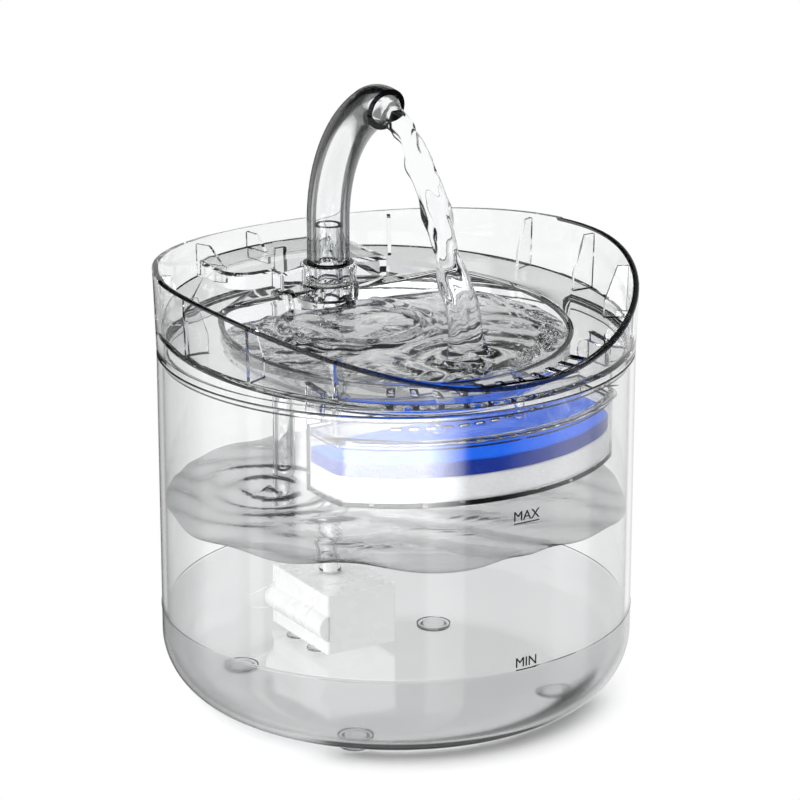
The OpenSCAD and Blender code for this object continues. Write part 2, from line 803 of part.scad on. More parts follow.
module intake_sponge() {
    y0 = intake_y + 0.3;
    color([0.12, 0.12, 0.13])
    intersection() {
        translate([0, y0, 0]) tongue_block(pump_wall + tongue_t + 0.1, bulkhead_y - 1.2 - y0);
        translate([-reach, 0, 0])
            cube([reach + pump_w / 2 - pump_wall - 0.2 - gate_t - 0.3, reach, reach]);
    }
}

module impeller_cap() {
    color([0.90, 0.90, 0.89])
    difference() {
        translate([0, chamber_y - cap_t, axis_z]) rod_y(cap_r, cap_t);
        for (a = [0:60:300]) translate([0, chamber_y - cap_t - 1, axis_z]) rotate([0, a, 0])
            translate([4.6, 0, 0]) rod_y(1.3, cap_t + 2);
        translate([0, chamber_y - bush_t, axis_z]) rod_y(shaft_r + 1.2, bush_t + 1);
    }
}

module front_bush() {
    color([0.15, 0.15, 0.16])
    difference() {
        translate([0, chamber_y - bush_t, axis_z]) rod_y(shaft_r + 1.2, bush_t);
        translate([0, chamber_y - bush_t - 1, axis_z]) rod_y(shaft_r, bush_t + 2);
    }
}

module rear_bush() {
    color([0.15, 0.15, 0.16])
    difference() {
        translate([0, can_end_y - bush_t, axis_z]) rod_y(can_r, bush_t);
        translate([0, can_end_y - bush_t - 1, axis_z]) rod_y(shaft_r, bush_t + 2);
    }
}

module rotor_shaft() {
    color([0.93, 0.93, 0.90])
    translate([0, chamber_y - bush_t, axis_z]) rod_y(shaft_r, can_end_y - chamber_y + bush_t);
}

module impeller() {
    blade_y = chamber_y + 1;
    blade_l = chamber_l - 3;
    hub_r = shaft_r + 1.2;
    color([0.93, 0.93, 0.93])
    difference() {
        union() {
            translate([0, blade_y, axis_z]) rod_y(hub_r, can_end_y - bush_t - 0.6 - blade_y);
            translate([0, blade_y + blade_l, axis_z]) rod_y(can_r - 0.5, 1);
            for (i = [0:blade_count - 1]) translate([0, blade_y, axis_z])
                rotate([0, i * 360 / blade_count, 0]) translate([0, 0, -0.6])
                    cube([chamber_r - 0.8, blade_l, 1.2]);
        }
        translate([0, chamber_y, axis_z]) rod_y(shaft_r + run_gap, reach);
    }
}

module rotor_magnet() {
    y0 = can_y + 0.8;
    color([0.20, 0.20, 0.22])
    difference() {
        translate([0, y0, axis_z]) rod_y(can_r - 0.4, can_end_y - bush_t - 0.6 - y0);
        translate([0, y0 - 1, axis_z]) rod_y(shaft_r + 1.2, reach);
    }
}

module stator_core() {
    core_top = axis_z + 5.5;
    color([0.55, 0.57, 0.60])
    difference() {
        translate([0, core_y, 0]) union() {
            for (s = [-1, 1]) translate([s * (leg_x + leg_t / 2) - leg_t / 2, 0, yoke_z])
                cube([leg_t, core_l, core_top - yoke_z]);
            translate([-leg_x - leg_t, 0, yoke_z]) cube([2 * (leg_x + leg_t), core_l, yoke_t]);
        }
        translate([0, core_y - 1, axis_z]) rod_y(leg_x, core_l + 2);
    }
}

// A sleeve around the yoke: x half length, and its growth beyond the yoke
module yoke_sleeve(x, grow) {
    translate([-x, core_y - grow, yoke_z - grow])
        cube([2 * x, core_l + 2 * grow, yoke_t + 2 * grow]);
}

module coil_bobbin() {
    color([0.85, 0.83, 0.74])
    difference() {
        union() {
            yoke_sleeve(leg_x - 0.1, bobbin_t);
            for (s = [-1, 1]) intersection() {
                yoke_sleeve(leg_x - 0.1, bobbin_t + coil_t);
                translate([s * (leg_x - 0.4) - 0.3, 0, 0]) cube([0.6, reach, reach]);
            }
        }
        yoke_sleeve(leg_x + 1, 0);
    }
}

module stator_coil() {
    color([0.72, 0.38, 0.18])
    difference() {
        yoke_sleeve(leg_x - 0.7, bobbin_t + coil_t - 0.1);
        yoke_sleeve(leg_x, bobbin_t);
    }
}

module motor_potting() {
    fill_top = axis_z - 2;
    color([0.10, 0.10, 0.11])
    difference() {
        intersection() {
            translate([0, motor_y, 0]) tongue_block(pump_wall, motor_end_y - motor_y);
            translate([-reach / 2, 0, 0]) cube([reach, reach, fill_top]);
        }
        translate([0, motor_y - 1, axis_z]) rod_y(can_r + can_wall, reach);
        translate([-leg_x - leg_t, core_y, yoke_z]) cube([2 * (leg_x + leg_t), core_l, reach]);
        yoke_sleeve(leg_x - 0.1, bobbin_t + coil_t);
    }
}

module rear_cover() {
    color([0.95, 0.95, 0.94])
    difference() {
        union() {
            pump_block(pump_w, motor_end_y, pump_end_y, pump_z, pump_top_z, 0.7);
            pod(motor_end_y, pump_end_y);
        }
        translate([gland_x, motor_end_y - 1, gland_z]) rod_y(gland_r, rear_t + 2);
    }
}

module cable_gland() {
    color([0.90, 0.90, 0.89])
    difference() {
        union() {
            translate([gland_x, motor_end_y, gland_z]) rod_y(gland_r, rear_t);
            translate([gland_x, pump_end_y, gland_z]) rotate([-90, 0, 0])
                cylinder(r1 = gland_r + 0.8, r2 = gland_bore + 0.8, h = 4);
        }
        translate([gland_x, motor_end_y - 1, gland_z]) rod_y(gland_bore, reach);
    }
}

module suction_cups() {
    color([0.90, 0.92, 0.93, 0.6])
    for (s = [-1, 1], y = [cup_front_y, cup_rear_y]) translate([s * cup_x, y, 0]) difference() {
        union() {
            translate([0, 0, floor_z]) cylinder(d1 = cup_d, d2 = cup_d * 0.5, h = cup_h * 0.65);
            translate([0, 0, floor_z + cup_h * 0.65 - eps])
                cylinder(r = stud_r + 0.8, h = cup_h * 0.35 + eps);
            translate([0, 0, pump_z - eps]) cylinder(r = stud_r, h = stud_h + eps);
        }
        translate([0, 0, floor_z - eps]) cylinder(d1 = cup_d - 2, d2 = 1, h = cup_h * 0.45);
    }
}

tank();
tank_feet();
tray();
faucet_base();
faucet_o_ring();
spout();
riser_tube();
filter_box();
filter_lid();
filter_sponge();
filter_cotton();
carbon_core();
pump_housing();
pump_cover();
flow_slider();
intake_sponge();
impeller_cap();
impeller();
rotor_magnet();
rotor_shaft();
front_bush();
rear_bush();
stator_core();
coil_bobbin();
stator_coil();
motor_potting();
rear_cover();
cable_gland();
suction_cups();
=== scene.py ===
"""Clear pet water fountain: its finishes, its dressed pieces, its water and a studio.

The pieces are in metres in the object's own frame: +Z is up, the front is -Y and the
origin is on the table under the centre of the tank.
"""

from __future__ import annotations

import json
import logging
import math
from dataclasses import dataclass, field
from enum import Enum
from typing import Callable, Iterable, Sequence

import bmesh
import bpy
from mathutils import Matrix, Vector

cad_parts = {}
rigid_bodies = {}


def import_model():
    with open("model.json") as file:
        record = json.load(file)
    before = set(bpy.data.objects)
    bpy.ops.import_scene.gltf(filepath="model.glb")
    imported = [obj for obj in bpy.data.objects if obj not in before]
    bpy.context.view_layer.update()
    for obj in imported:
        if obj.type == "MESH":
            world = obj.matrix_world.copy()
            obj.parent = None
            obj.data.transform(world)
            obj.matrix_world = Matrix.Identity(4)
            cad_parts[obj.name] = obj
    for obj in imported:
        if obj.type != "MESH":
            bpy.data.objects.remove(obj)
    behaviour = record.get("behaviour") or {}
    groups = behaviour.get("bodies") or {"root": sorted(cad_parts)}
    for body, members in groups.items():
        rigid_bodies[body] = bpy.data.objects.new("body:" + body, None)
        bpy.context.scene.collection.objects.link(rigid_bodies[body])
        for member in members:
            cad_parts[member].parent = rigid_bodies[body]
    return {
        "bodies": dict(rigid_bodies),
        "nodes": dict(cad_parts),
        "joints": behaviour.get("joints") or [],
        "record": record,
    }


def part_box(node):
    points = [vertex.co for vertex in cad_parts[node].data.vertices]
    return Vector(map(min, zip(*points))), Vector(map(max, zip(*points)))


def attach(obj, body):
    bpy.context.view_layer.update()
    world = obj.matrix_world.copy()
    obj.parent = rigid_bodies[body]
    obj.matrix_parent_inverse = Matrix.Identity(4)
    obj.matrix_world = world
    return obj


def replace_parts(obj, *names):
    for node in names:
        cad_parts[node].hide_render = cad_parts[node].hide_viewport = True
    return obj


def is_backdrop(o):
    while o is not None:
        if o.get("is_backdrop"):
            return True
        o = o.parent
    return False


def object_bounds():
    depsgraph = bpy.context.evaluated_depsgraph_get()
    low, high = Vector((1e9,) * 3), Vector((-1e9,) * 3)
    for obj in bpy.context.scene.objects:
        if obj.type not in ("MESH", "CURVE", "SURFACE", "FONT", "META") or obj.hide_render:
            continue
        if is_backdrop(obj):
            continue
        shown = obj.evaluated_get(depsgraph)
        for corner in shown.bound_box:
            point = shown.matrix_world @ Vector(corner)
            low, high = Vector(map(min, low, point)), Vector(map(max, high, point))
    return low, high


LOG = logging.getLogger("fountain")
MM = 0.001
FULL_TURN = 2 * math.pi
NODE_SPACING = 180
MERGE = 1e-6

Socket = bpy.types.NodeSocket
Mesh = bmesh.types.BMesh
Edge = bmesh.types.BMEdge
Ring = list[bmesh.types.BMVert]
Piece = bpy.types.Object
Colour = tuple[float, float, float]
Pair = tuple[float, float]
Section = list[Pair]

STREAM_FALL = (7.0, -43.0)


class Body(Enum):
    """The moving bodies that a piece can ride on."""

    BASE = "base"
    TRAY = "drinking_tray"
    FAUCET = "faucet"
    GOOSENECK = "gooseneck"
    FILTER = "filter"
    COVER = "intake_cover"


# ---------------------------------------------------------------- node helpers


@dataclass
class Graph:
    """A node tree with short calls for adding and joining nodes.

    Args:
        tree: the tree that receives the nodes.
        column: how many nodes were added so far.
    """

    tree: bpy.types.NodeTree
    column: int = 0

    @classmethod
    def fresh(cls, owner: bpy.types.Material | bpy.types.World) -> Graph:
        """The emptied node tree of a material or a world.

        Args:
            owner: the material or world.

        Returns:
            A graph of its tree.
        """
        owner.use_nodes = True
        owner.node_tree.nodes.clear()
        return cls(owner.node_tree)

    def add(self, kind: str, inputs: dict[str | int, object] | None = None,
            **settings: object) -> bpy.types.Node:
        """Adds a node.

        Args:
            kind: the node's type, such as ShaderNodeMath.
            inputs: for each input, by name or number, a socket to join or a plain value.
            settings: attributes to set on it.

        Returns:
            The new node.
        """
        node = self.tree.nodes.new(kind)
        node.location = (NODE_SPACING * self.column, 0)
        self.column += 1
        for name, value in settings.items():
            setattr(node, name, value)
        self.feed(node, inputs or {})
        return node

    def feed(self, node: bpy.types.Node, inputs: dict[str | int, object]) -> None:
        """Sets a node's inputs, or joins them to outputs.

        Args:
            node: the node.
            inputs: for each input, by name or number, a socket to join or a plain value.
        """
        for name, value in inputs.items():
            if isinstance(value, bpy.types.NodeSocket):
                self.tree.links.new(value, node.inputs[name])
            else:
                node.inputs[name].default_value = value

    def maths(self, operation: str, *values: object) -> Socket:
        """The result of a Math node on sockets or numbers."""
        node = self.add("ShaderNodeMath", dict(enumerate(values)), operation=operation)
        return node.outputs[0]

    def vector(self, operation: str, *values: object) -> Socket:
        """The result of a Vector Math node on sockets or vectors."""
        node = self.add("ShaderNodeVectorMath", dict(enumerate(values)), operation=operation)
        return node.outputs["Value" if operation == "LENGTH" else "Vector"]

    def place(self) -> Socket:
        """The place on the object."""
        return self.add("ShaderNodeTexCoord").outputs["Object"]

    def axes(self, vector: Socket) -> list[Socket]:
        """A vector's X, Y and Z."""
        return list(self.add("ShaderNodeSeparateXYZ", {0: vector}).outputs)

    def flat_length(self, across: Socket, along: Socket) -> Socket:
        """The length of a vector with two parts."""
        both = self.add("ShaderNodeCombineXYZ", {"X": across, "Y": along})
        return self.vector("LENGTH", both.outputs[0])

    def span(self, value: Socket, start: float, end: float, **settings: object) -> Socket:
        """How far a value is on its way from a start, 0, to an end, 1.

        Args:
            value: the value.
            start: the start.
            end: the end.
            settings: attributes of the Map Range node.

        Returns:
            The share, kept from 0 to 1.
        """
        node = self.add("ShaderNodeMapRange", {
            "Value": value, "From Min": start, "From Max": end}, **settings)
        return node.outputs["Result"]

    def product(self, first: object, second: object) -> Socket:
        """Two colours multiplied."""
        return self.add("ShaderNodeMix", {0: 1.0, 6: first, 7: second}, data_type="RGBA",
                        blend_type="MULTIPLY").outputs[2]

    def choose(self, when: Socket, otherwise: object, chosen: object) -> Socket:
        """One colour where a socket is 1, and another where it is 0."""
        return self.add("ShaderNodeMix", {0: when, 6: otherwise, 7: chosen},
                        data_type="RGBA").outputs[2]

    def ramp(self, value: Socket, stops: Iterable[tuple[float, float | Colour]]) -> Socket:
        """The colour of a Color Ramp.

        Args:
            value: the socket that drives it.
            stops: pairs of a place and a grey level or a colour.

        Returns:
            Its output.
        """
        node = self.add("ShaderNodeValToRGB", {0: value})
        band = node.color_ramp
        while len(band.elements) > 1:
            band.elements.remove(band.elements[-1])
        for number, (place, level) in enumerate(stops):
            stop = band.elements[0] if number == 0 else band.elements.new(place)
            stop.position = place
            stop.color = (*(level if isinstance(level, tuple) else (level,) * 3), 1.0)
        return node.outputs[0]


@dataclass(frozen=True)
class Shared:
    """A shader node group of numbers, which is built once and shared by several finishes.

    Args:
        name: the group's name.
        inputs: its inputs, with their values.
        outputs: its outputs.
        fill: adds its nodes to a graph, given the inputs' sockets, and returns a socket for
            each output.
    """

    name: str
    inputs: dict[str, float]
    outputs: tuple[str, ...]
    fill: Callable[[Graph, dict[str, Socket]], tuple[Socket, ...]]

    def tree(self) -> bpy.types.NodeTree:
        """Makes the group, or returns it if it is there.

        Returns:
            The group.
        """
        if self.name in bpy.data.node_groups:
            return bpy.data.node_groups[self.name]
        tree = bpy.data.node_groups.new(self.name, "ShaderNodeTree")
        kind = "NodeSocketFloat"
        for label, value in self.inputs.items():
            socket = tree.interface.new_socket(label, in_out="INPUT", socket_type=kind)
            socket.default_value = value
        for label in self.outputs:
            tree.interface.new_socket(label, in_out="OUTPUT", socket_type=kind)
        graph = Graph(tree)
        given = graph.add("NodeGroupInput").outputs
        made = self.fill(graph, {label: given[label] for label in self.inputs})
        graph.add("NodeGroupOutput", dict(zip(self.outputs, made)))
        return tree

    def use(self, graph: Graph, **inputs: float) -> dict[str, Socket]:
        """Adds the group to a graph.

        Args:
            graph: the graph.
            inputs: values for the group's inputs.

        Returns:
            The group's outputs by name.
        """
        node = graph.add("ShaderNodeGroup", inputs, node_tree=self.tree())
        return {label: node.outputs[label] for label in self.outputs}


def fill_handling(graph: Graph, given: dict[str, Socket]) -> tuple[Socket, ...]:
    """Faint wipe marks and specks that vary a gloss surface's roughness and height.

    Args:
        graph: the group's graph.
        given: its inputs, by name.

    Returns:
        The roughness and the height.
    """
    cloud = graph.add("ShaderNodeTexNoise", {
        "Vector": graph.place(), "Scale": given["Scale"], "Detail": 4.0}).outputs["Fac"]
    reach = graph.add("ShaderNodeMapRange", {
        "Value": cloud, "From Min": 0.4, "From Max": 0.75, "To Min": given["Low"],
        "To Max": given["High"]})
    return reach.outputs["Result"], cloud


def fill_grain(graph: Graph, given: dict[str, Socket]) -> tuple[Socket, ...]:
    """Open pores or matted fibres: a height, and a mask that is high in the hollows.

    Args:
        graph: the group's graph.
        given: its inputs, by name.

    Returns:
        The height and the mask.
    """
    spread = graph.add("ShaderNodeCombineXYZ", {"X": 1.0, "Y": 1.0, "Z": given["Stretch"]})
    place = graph.vector("MULTIPLY", graph.place(), spread.outputs[0])
    cells = graph.add("ShaderNodeTexVoronoi", {"Vector": place, "Scale": given["Scale"]},
                      feature="F1")
    fine = graph.add("ShaderNodeTexNoise", {
        "Vector": place, "Scale": given["Scale"], "Detail": 6.0})
    height = graph.add("ShaderNodeMix", {
        0: given["Roughen"], 2: cells.outputs["Distance"], 3: fine.outputs["Fac"]},
        data_type="FLOAT").outputs[0]
    return height, graph.span(height, 0.25, 0.6)


def fill_ripples(graph: Graph, given: dict[str, Socket]) -> tuple[Socket, ...]:
    """Small water ripples as a height.

    Args:
        graph: the group's graph.
        given: its inputs, by name.

    Returns:
        The height alone.
    """
    return (graph.add("ShaderNodeTexNoise", {
        "Vector": graph.place(), "Scale": given["Scale"], "Distortion": given["Swirl"],
        "Detail": 2.0}).outputs["Fac"],)


HANDLING = Shared("handling", {"Scale": 60.0, "Low": 0.02, "High": 0.08},
                  ("Roughness", "Height"), fill_handling)
GRAIN = Shared("grain", {"Scale": 900.0, "Stretch": 1.0, "Roughen": 0.5},
               ("Height", "Hollow"), fill_grain)
RIPPLES = Shared("ripples", {"Scale": 40.0, "Swirl": 1.5}, ("Height",), fill_ripples)


# ---------------------------------------------------------------- finishes


@dataclass(frozen=True)
class Finish:
    """A finish: what every one of them has.

    Args:
        name: the material's name.
        colour: its base colour.
        roughness: its roughness.
    """

    name: str
    colour: Colour
    roughness: float

    def material(self) -> bpy.types.Material:
        """Makes the material, or returns it if it is there.

        Returns:
            The material.
        """
        if self.name in bpy.data.materials:
            return bpy.data.materials[self.name]
        material = bpy.data.materials.new(self.name)
        graph = Graph.fresh(material)
        shader = graph.add("ShaderNodeBsdfPrincipled", {
            "Base Color": (*self.colour, 1.0), "Roughness": self.roughness})
        graph.add("ShaderNodeOutputMaterial", {"Surface": shader.outputs[0]})
        self.detail(graph, shader)
        return material

    def detail(self, graph: Graph, shader: bpy.types.Node) -> None:
        """Adds what makes this finish its own."""

    def bump(self, graph: Graph, shader: bpy.types.Node, height: Socket,
             strength: float, distance: float) -> None:
        """Feeds a height to the shader's normal.

        Args:
            graph: the material's graph.
            shader: its shader.
            height: the height's socket.
            strength: the bump's strength.
            distance: the bump's depth in metres.
        """
        bump = graph.add("ShaderNodeBump", {
            "Strength": strength, "Distance": distance, "Height": height})
        graph.feed(shader, {"Normal": bump.outputs[0]})


@dataclass(frozen=True)
class ClearPlastic(Finish):
    """Polished clear plastic, with painted shade where it is seen at a glancing angle.

    Args:
        index: its index of refraction.
        glance: from 0, head on, to 1, along the surface: where the painted shade starts.
        dark_by: where it is nearly complete.
    """

    index: float = 1.45
    glance: float = 0.84
    dark_by: float = 0.94

    def moulded(self, graph: Graph, rough: Socket) -> tuple[object, Socket]:
        """The colour and the roughness of the plastic itself.

        Args:
            graph: the material's graph.
            rough: the roughness that its handling marks give.

        Returns:
            The colour, or its socket, and the roughness.
        """
        return (*self.colour, 1.0), rough

    def detail(self, graph: Graph, shader: bpy.types.Node) -> None:
        """Clear and faintly absorbing, with handling marks and painted shade at glancing angles.

        Args:
            graph: the material's graph.
            shader: its shader.
        """
        marks = HANDLING.use(graph, Scale=35.0, Low=self.roughness, High=self.roughness + 0.02)
        colour, rough = self.moulded(graph, marks["Roughness"])
        # Painted shade: the colour darkens towards glancing angles, where refraction shows dark
        # edges.
        facing = graph.add("ShaderNodeLayerWeight", {"Blend": 0.5}).outputs["Facing"]
        band = graph.ramp(facing, [
            (0.0, 1.0), (self.glance, 1.0), (self.dark_by, 0.08), (1.0, 0.01)])
        graph.feed(shader, {"Transmission Weight": 1.0, "IOR": self.index, "Roughness": rough,
                            "Base Color": graph.product(colour, band)})


@dataclass(frozen=True)
class TankPlastic(ClearPlastic):
    """The tank's plastic: misted under its bead, with a band of painted shade around its front
    heel, where the bottom's turn shows dark.

    Args:
        misted: the colour where the mist is full.
        heel: the colour of the heel's band, which is painted shade.
        mist_rise: the heights from clear to misted.
        mist_reach: the radii from the floor's thinner mist to the wall's full mist.
        heel_rise: the heights from no band to full band.
        heel_reach: the radii from no band to full band.
        heel_front: the places along Y from no band to full band.
        bend: the radius and height about which the wall turns into the floor.
        bend_r: the turn's least radius for the band, which keeps it on the outer face.
    """

    misted: Colour = (0.8, 0.805, 0.81)
    heel: Colour = (0.01, 0.01, 0.01)
    mist_rise: Pair = (37.7 * MM, 37.3 * MM)
    mist_reach: Pair = (64.0 * MM, 86.0 * MM)
    heel_rise: Pair = (7.5 * MM, 6.0 * MM)
    heel_reach: Pair = (67.0 * MM, 71.0 * MM)
    heel_front: Pair = (-40.0 * MM, -55.0 * MM)
    bend: Pair = (66.1 * MM, 27.5 * MM)
    bend_r: float = 25.0 * MM

    def moulded(self, graph: Graph, rough: Socket) -> tuple[object, Socket]:
        """Adds the mist and the painted shade band.

        Args:
            graph: the material's graph.
            rough: the roughness that its handling marks give.

        Returns:
            The colour's socket and the roughness.
        """
        across, along, height = graph.axes(graph.place())
        reach = graph.flat_length(across, along)
        share = graph.maths("MULTIPLY_ADD", graph.span(reach, *self.mist_reach), 0.45, 0.55)
        mist = graph.maths("MULTIPLY", graph.span(height, *self.mist_rise), share)
        spoke = graph.flat_length(graph.maths("SUBTRACT", reach, self.bend[0]),
                                  graph.maths("SUBTRACT", height, self.bend[1]))
        # Painted shade: a dark band low on the front of the heel, which stands in for the dark
        # line that the bottom's turn refracts.
        band = graph.span(height, *self.heel_rise)
        for part in (graph.span(reach, *self.heel_reach), graph.span(along, *self.heel_front),
                     graph.maths("GREATER_THAN", spoke, self.bend_r)):
            band = graph.maths("MULTIPLY", band, part)
        depth = graph.maths("DIVIDE", graph.maths("MULTIPLY_ADD", band, 2.0, mist), 3.0)
        tint = graph.ramp(depth, [(0.0, self.colour), (0.333, self.misted), (0.8, self.heel)])
        return tint, graph.maths("ADD", rough, graph.maths("MULTIPLY", mist, 0.08))


@dataclass(frozen=True)
class Water(Finish):
    """Moving water.

    Args:
        index: its index of refraction; lower where air is mixed in.
        scale: how fine its ripples are.
        depth: how deep its ripples are, in metres.
    """

    index: float = 1.33
    scale: float = 60.0
    depth: float = 0.6 * MM

    def detail(self, graph: Graph, shader: bpy.types.Node) -> None:
        """Clear, with small ripples.

        Args:
            graph: the material's graph.
            shader: its shader.
        """
        graph.feed(shader, {"Transmission Weight": 1.0, "IOR": self.index})
        waves = RIPPLES.use(graph, Scale=self.scale)
        self.bump(graph, shader, waves["Height"], 0.6, self.depth)


@dataclass(frozen=True)
class GlossPlastic(Finish):
    """Opaque moulded plastic with a glossy coat and a faint orange-peel."""

    def detail(self, graph: Graph, shader: bpy.types.Node) -> None:
        """Coat, handling marks and a fine waviness.

        Args:
            graph: the material's graph.
            shader: its shader.
        """
        marks = HANDLING.use(graph, Scale=140.0, Low=self.roughness, High=self.roughness + 0.15)
        graph.feed(shader, {"Coat Weight": 0.5, "Coat Roughness": 0.06,
                            "Roughness": marks["Roughness"]})
        self.bump(graph, shader, marks["Height"], 0.15, 0.1 * MM)


@dataclass(frozen=True)
class Porous(Finish):
    """Foam, fleece or granules.

    Args:
        dark: the colour in its hollows, which is painted shade.
        scale: how fine its pores are.
        stretch: how much finer they are upright than across.
        roughen: how much of the height is matted fibre rather than pores.
        depth: the pores' depth in metres.
        sheen: how much its fibres glow at the edges.
        upright: the painted shade that its upright sides' colour is multiplied by, or None.
    """

    dark: Colour = (0.1, 0.1, 0.1)
    scale: float = 900.0
    stretch: float = 1.0
    roughen: float = 0.5
    depth: float = 0.4 * MM
    sheen: float = 0.2
    upright: Colour | None = None

    def detail(self, graph: Graph, shader: bpy.types.Node) -> None:
        """Pores with painted shade in their hollows, which also roughen the surface, under a soft
        sheen.

        Args:
            graph: the material's graph.
            shader: its shader.
        """
        grain = GRAIN.use(graph, Scale=self.scale, Stretch=self.stretch, Roughen=self.roughen)
        # Painted shade: the colour darkens in the pores' hollows.
        tint = graph.ramp(grain["Hollow"], [(0.0, self.colour), (1.0, self.dark)])
        # Painted shade: faces that turn sideways are darker than faces that look up.
        if self.upright:
            facing = graph.axes(graph.add("ShaderNodeTexCoord").outputs["Normal"])[2]
            tint = graph.product(tint, graph.ramp(facing, [(0.1, self.upright), (0.5, 1.0)]))
        graph.feed(shader, {"Base Color": tint, "Sheen Weight": self.sheen,
                            "Specular IOR Level": 0.15})
        self.bump(graph, shader, grain["Height"], 0.5, self.depth)


@dataclass(frozen=True)
class Metal(Finish):
    """Bare or lacquered metal with fine layers.

    Args:
        layers: how fine its layers or windings are.
    """

    layers: float = 2000.0

    def detail(self, graph: Graph, shader: bpy.types.Node) -> None:
        """Metallic, with fine parallel lines.

        Args:
            graph: the material's graph.
            shader: its shader.
        """
        graph.feed(shader, {"Metallic": 1.0})
        wave = graph.add("ShaderNodeTexWave", {
            "Vector": graph.place(), "Scale": self.layers, "Distortion": 0.4},
            bands_direction="Y")
        self.bump(graph, shader, wave.outputs["Fac"], 0.4, 0.1 * MM)


GLASSY = (0.985, 0.99, 0.99)
CLEAR = ClearPlastic("clear_plastic_finish", GLASSY, 0.0)
TANK_CLEAR = TankPlastic("tank_plastic_finish", GLASSY, 0.0)
# Painted shade: the gooseneck's darkening starts close to head on, which paints broad dark bands
# along its sides; the tray's stays at its outline.
FAUCET_CLEAR = ClearPlastic("faucet_plastic_finish", GLASSY, 0.0, glance=0.38, dark_by=0.44)
TRAY_CLEAR = ClearPlastic("tray_plastic_finish", GLASSY, 0.0, glance=0.92, dark_by=0.98)
# Painted shade: near-black rounded edges of the clear pieces, in place of the dark lines that
# refraction draws there.
EDGE_SHADE = ClearPlastic("painted_edge_shade", (0.02, 0.02, 0.022), 0.0)
SOFT_CLEAR = ClearPlastic("soft_clear_finish", (0.93, 0.94, 0.95), 0.12)
SILICONE = ClearPlastic("white_silicone_finish", (0.88, 0.88, 0.87), 0.18, index=1.41)
POOL_WATER = Water("pool_water_finish", (0.88, 0.885, 0.89), 0.0, depth=0.5 * MM)
TANK_WATER = Water("tank_water_finish", (0.71, 0.715, 0.72), 0.0, scale=28.0, depth=0.8 * MM)
STREAM_WATER = Water("stream_water_finish", (0.99, 0.995, 1.0), 0.0, index=1.14, scale=90.0,
                     depth=0.2 * MM)
WHITE = GlossPlastic("white_plastic_finish", (0.86, 0.86, 0.85), 0.22)
GREY = GlossPlastic("grey_plastic_finish", (0.62, 0.63, 0.64), 0.4)
CREAM = GlossPlastic("bobbin_plastic_finish", (0.72, 0.68, 0.55), 0.45)
RESIN = GlossPlastic("resin_finish", (0.03, 0.03, 0.032), 0.3)
CERAMIC = GlossPlastic("ceramic_finish", (0.86, 0.85, 0.81), 0.12)
INK = GlossPlastic("black_ink_finish", (0.006, 0.006, 0.006), 0.4)
BLACK_RUBBER = Porous("black_rubber_finish", (0.04, 0.04, 0.042), 0.7, dark=(0.02, 0.02, 0.02),
                      scale=2500.0, depth=0.05 * MM)
# The sponge's sides are painted darker than its top, as shade.
BLUE_FOAM = Porous("blue_foam_finish", (0.0, 0.19, 0.97), 0.85, dark=(0.0, 0.12, 0.83),
                   scale=1400.0, roughen=0.3, depth=0.5 * MM, sheen=0.0,
                   upright=(0.2, 0.2, 0.36))
FLEECE = Porous("white_fleece_finish", (0.88, 0.88, 0.875), 0.9, dark=(0.74, 0.74, 0.745),
                scale=700.0, stretch=3.0, roughen=0.85, depth=0.5 * MM)
DARK_FOAM = Porous("dark_foam_finish", (0.03, 0.03, 0.033), 0.9, dark=(0.008, 0.008, 0.008),
                   scale=1200.0, roughen=0.3, depth=0.5 * MM)
CARBON = Porous("carbon_finish", (0.02, 0.02, 0.021), 0.5, dark=(0.005, 0.005, 0.005),
                scale=1600.0, roughen=0.15, depth=0.6 * MM)
FERRITE = Metal("ferrite_finish", (0.08, 0.08, 0.085), 0.45, layers=900.0)
STEEL = Metal("laminated_steel_finish", (0.42, 0.43, 0.45), 0.35, layers=1500.0)
COPPER = Metal("copper_finish", (0.62, 0.26, 0.11), 0.3, layers=2600.0)


# ---------------------------------------------------------------- mesh helpers


def added(name: str, data: bpy.types.ID) -> Piece:
    """A new object in the scene.

    Args:
        name: the object's name.
        data: its data.

    Returns:
        The object.
    """
    piece = bpy.data.objects.new(name, data)
    bpy.context.scene.collection.objects.link(piece)
    return piece


def editable(data: bpy.types.Mesh) -> Mesh:
    """A bmesh with a mesh's shape.

    Args:
        data: the mesh.

    Returns:
        The bmesh.
    """
    mesh = bmesh.new()
    mesh.from_mesh(data)
    return mesh


def publish(mesh: Mesh, name: str, finish: Finish, body: Body,
            crease: float = 32.0, turn: bool = False, edging: Finish | None = None) -> Piece:
    """Turns a bmesh into a finished piece that rides on a body.

    Args:
        mesh: the bmesh, which is freed.
        name: the piece's name.
        finish: its finish.
        body: the body that it rides on.
        crease: edges over this angle, in degrees, stay crisp.
        turn: recalculate the faces to point outwards.
        edging: the material of the rounded edges, such as their painted shade, or None where they
            are finished alike.

    Returns:
        The new object.
    """
    bmesh.ops.remove_doubles(mesh, verts=mesh.verts, dist=MERGE)
    if turn:
        bmesh.ops.recalc_face_normals(mesh, faces=mesh.faces)
    for face in mesh.faces:
        face.smooth = True
    limit = math.radians(crease)
    for edge in mesh.edges:
        if len(edge.link_faces) == 2:
            first, second = edge.link_faces
            edge.smooth = (edge.calc_face_angle(0.0) < limit
                           and first.material_index == second.material_index)
    if edging is None:
        unmark(mesh)
    data = bpy.data.meshes.new(name)
    mesh.to_mesh(data)
    mesh.free()
    data.materials.append(finish.material())
    if edging is not None:
        data.materials.append(edging.material())
    piece = added(name, data)
    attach(piece, body.value)
    LOG.info("%s rides on %s: %d faces", name, body.value, len(data.polygons))
    return piece


def unmark(mesh: Mesh) -> None:
    """Gives all of a mesh's faces its first material."""
    for face in mesh.faces:
        face.material_index = 0


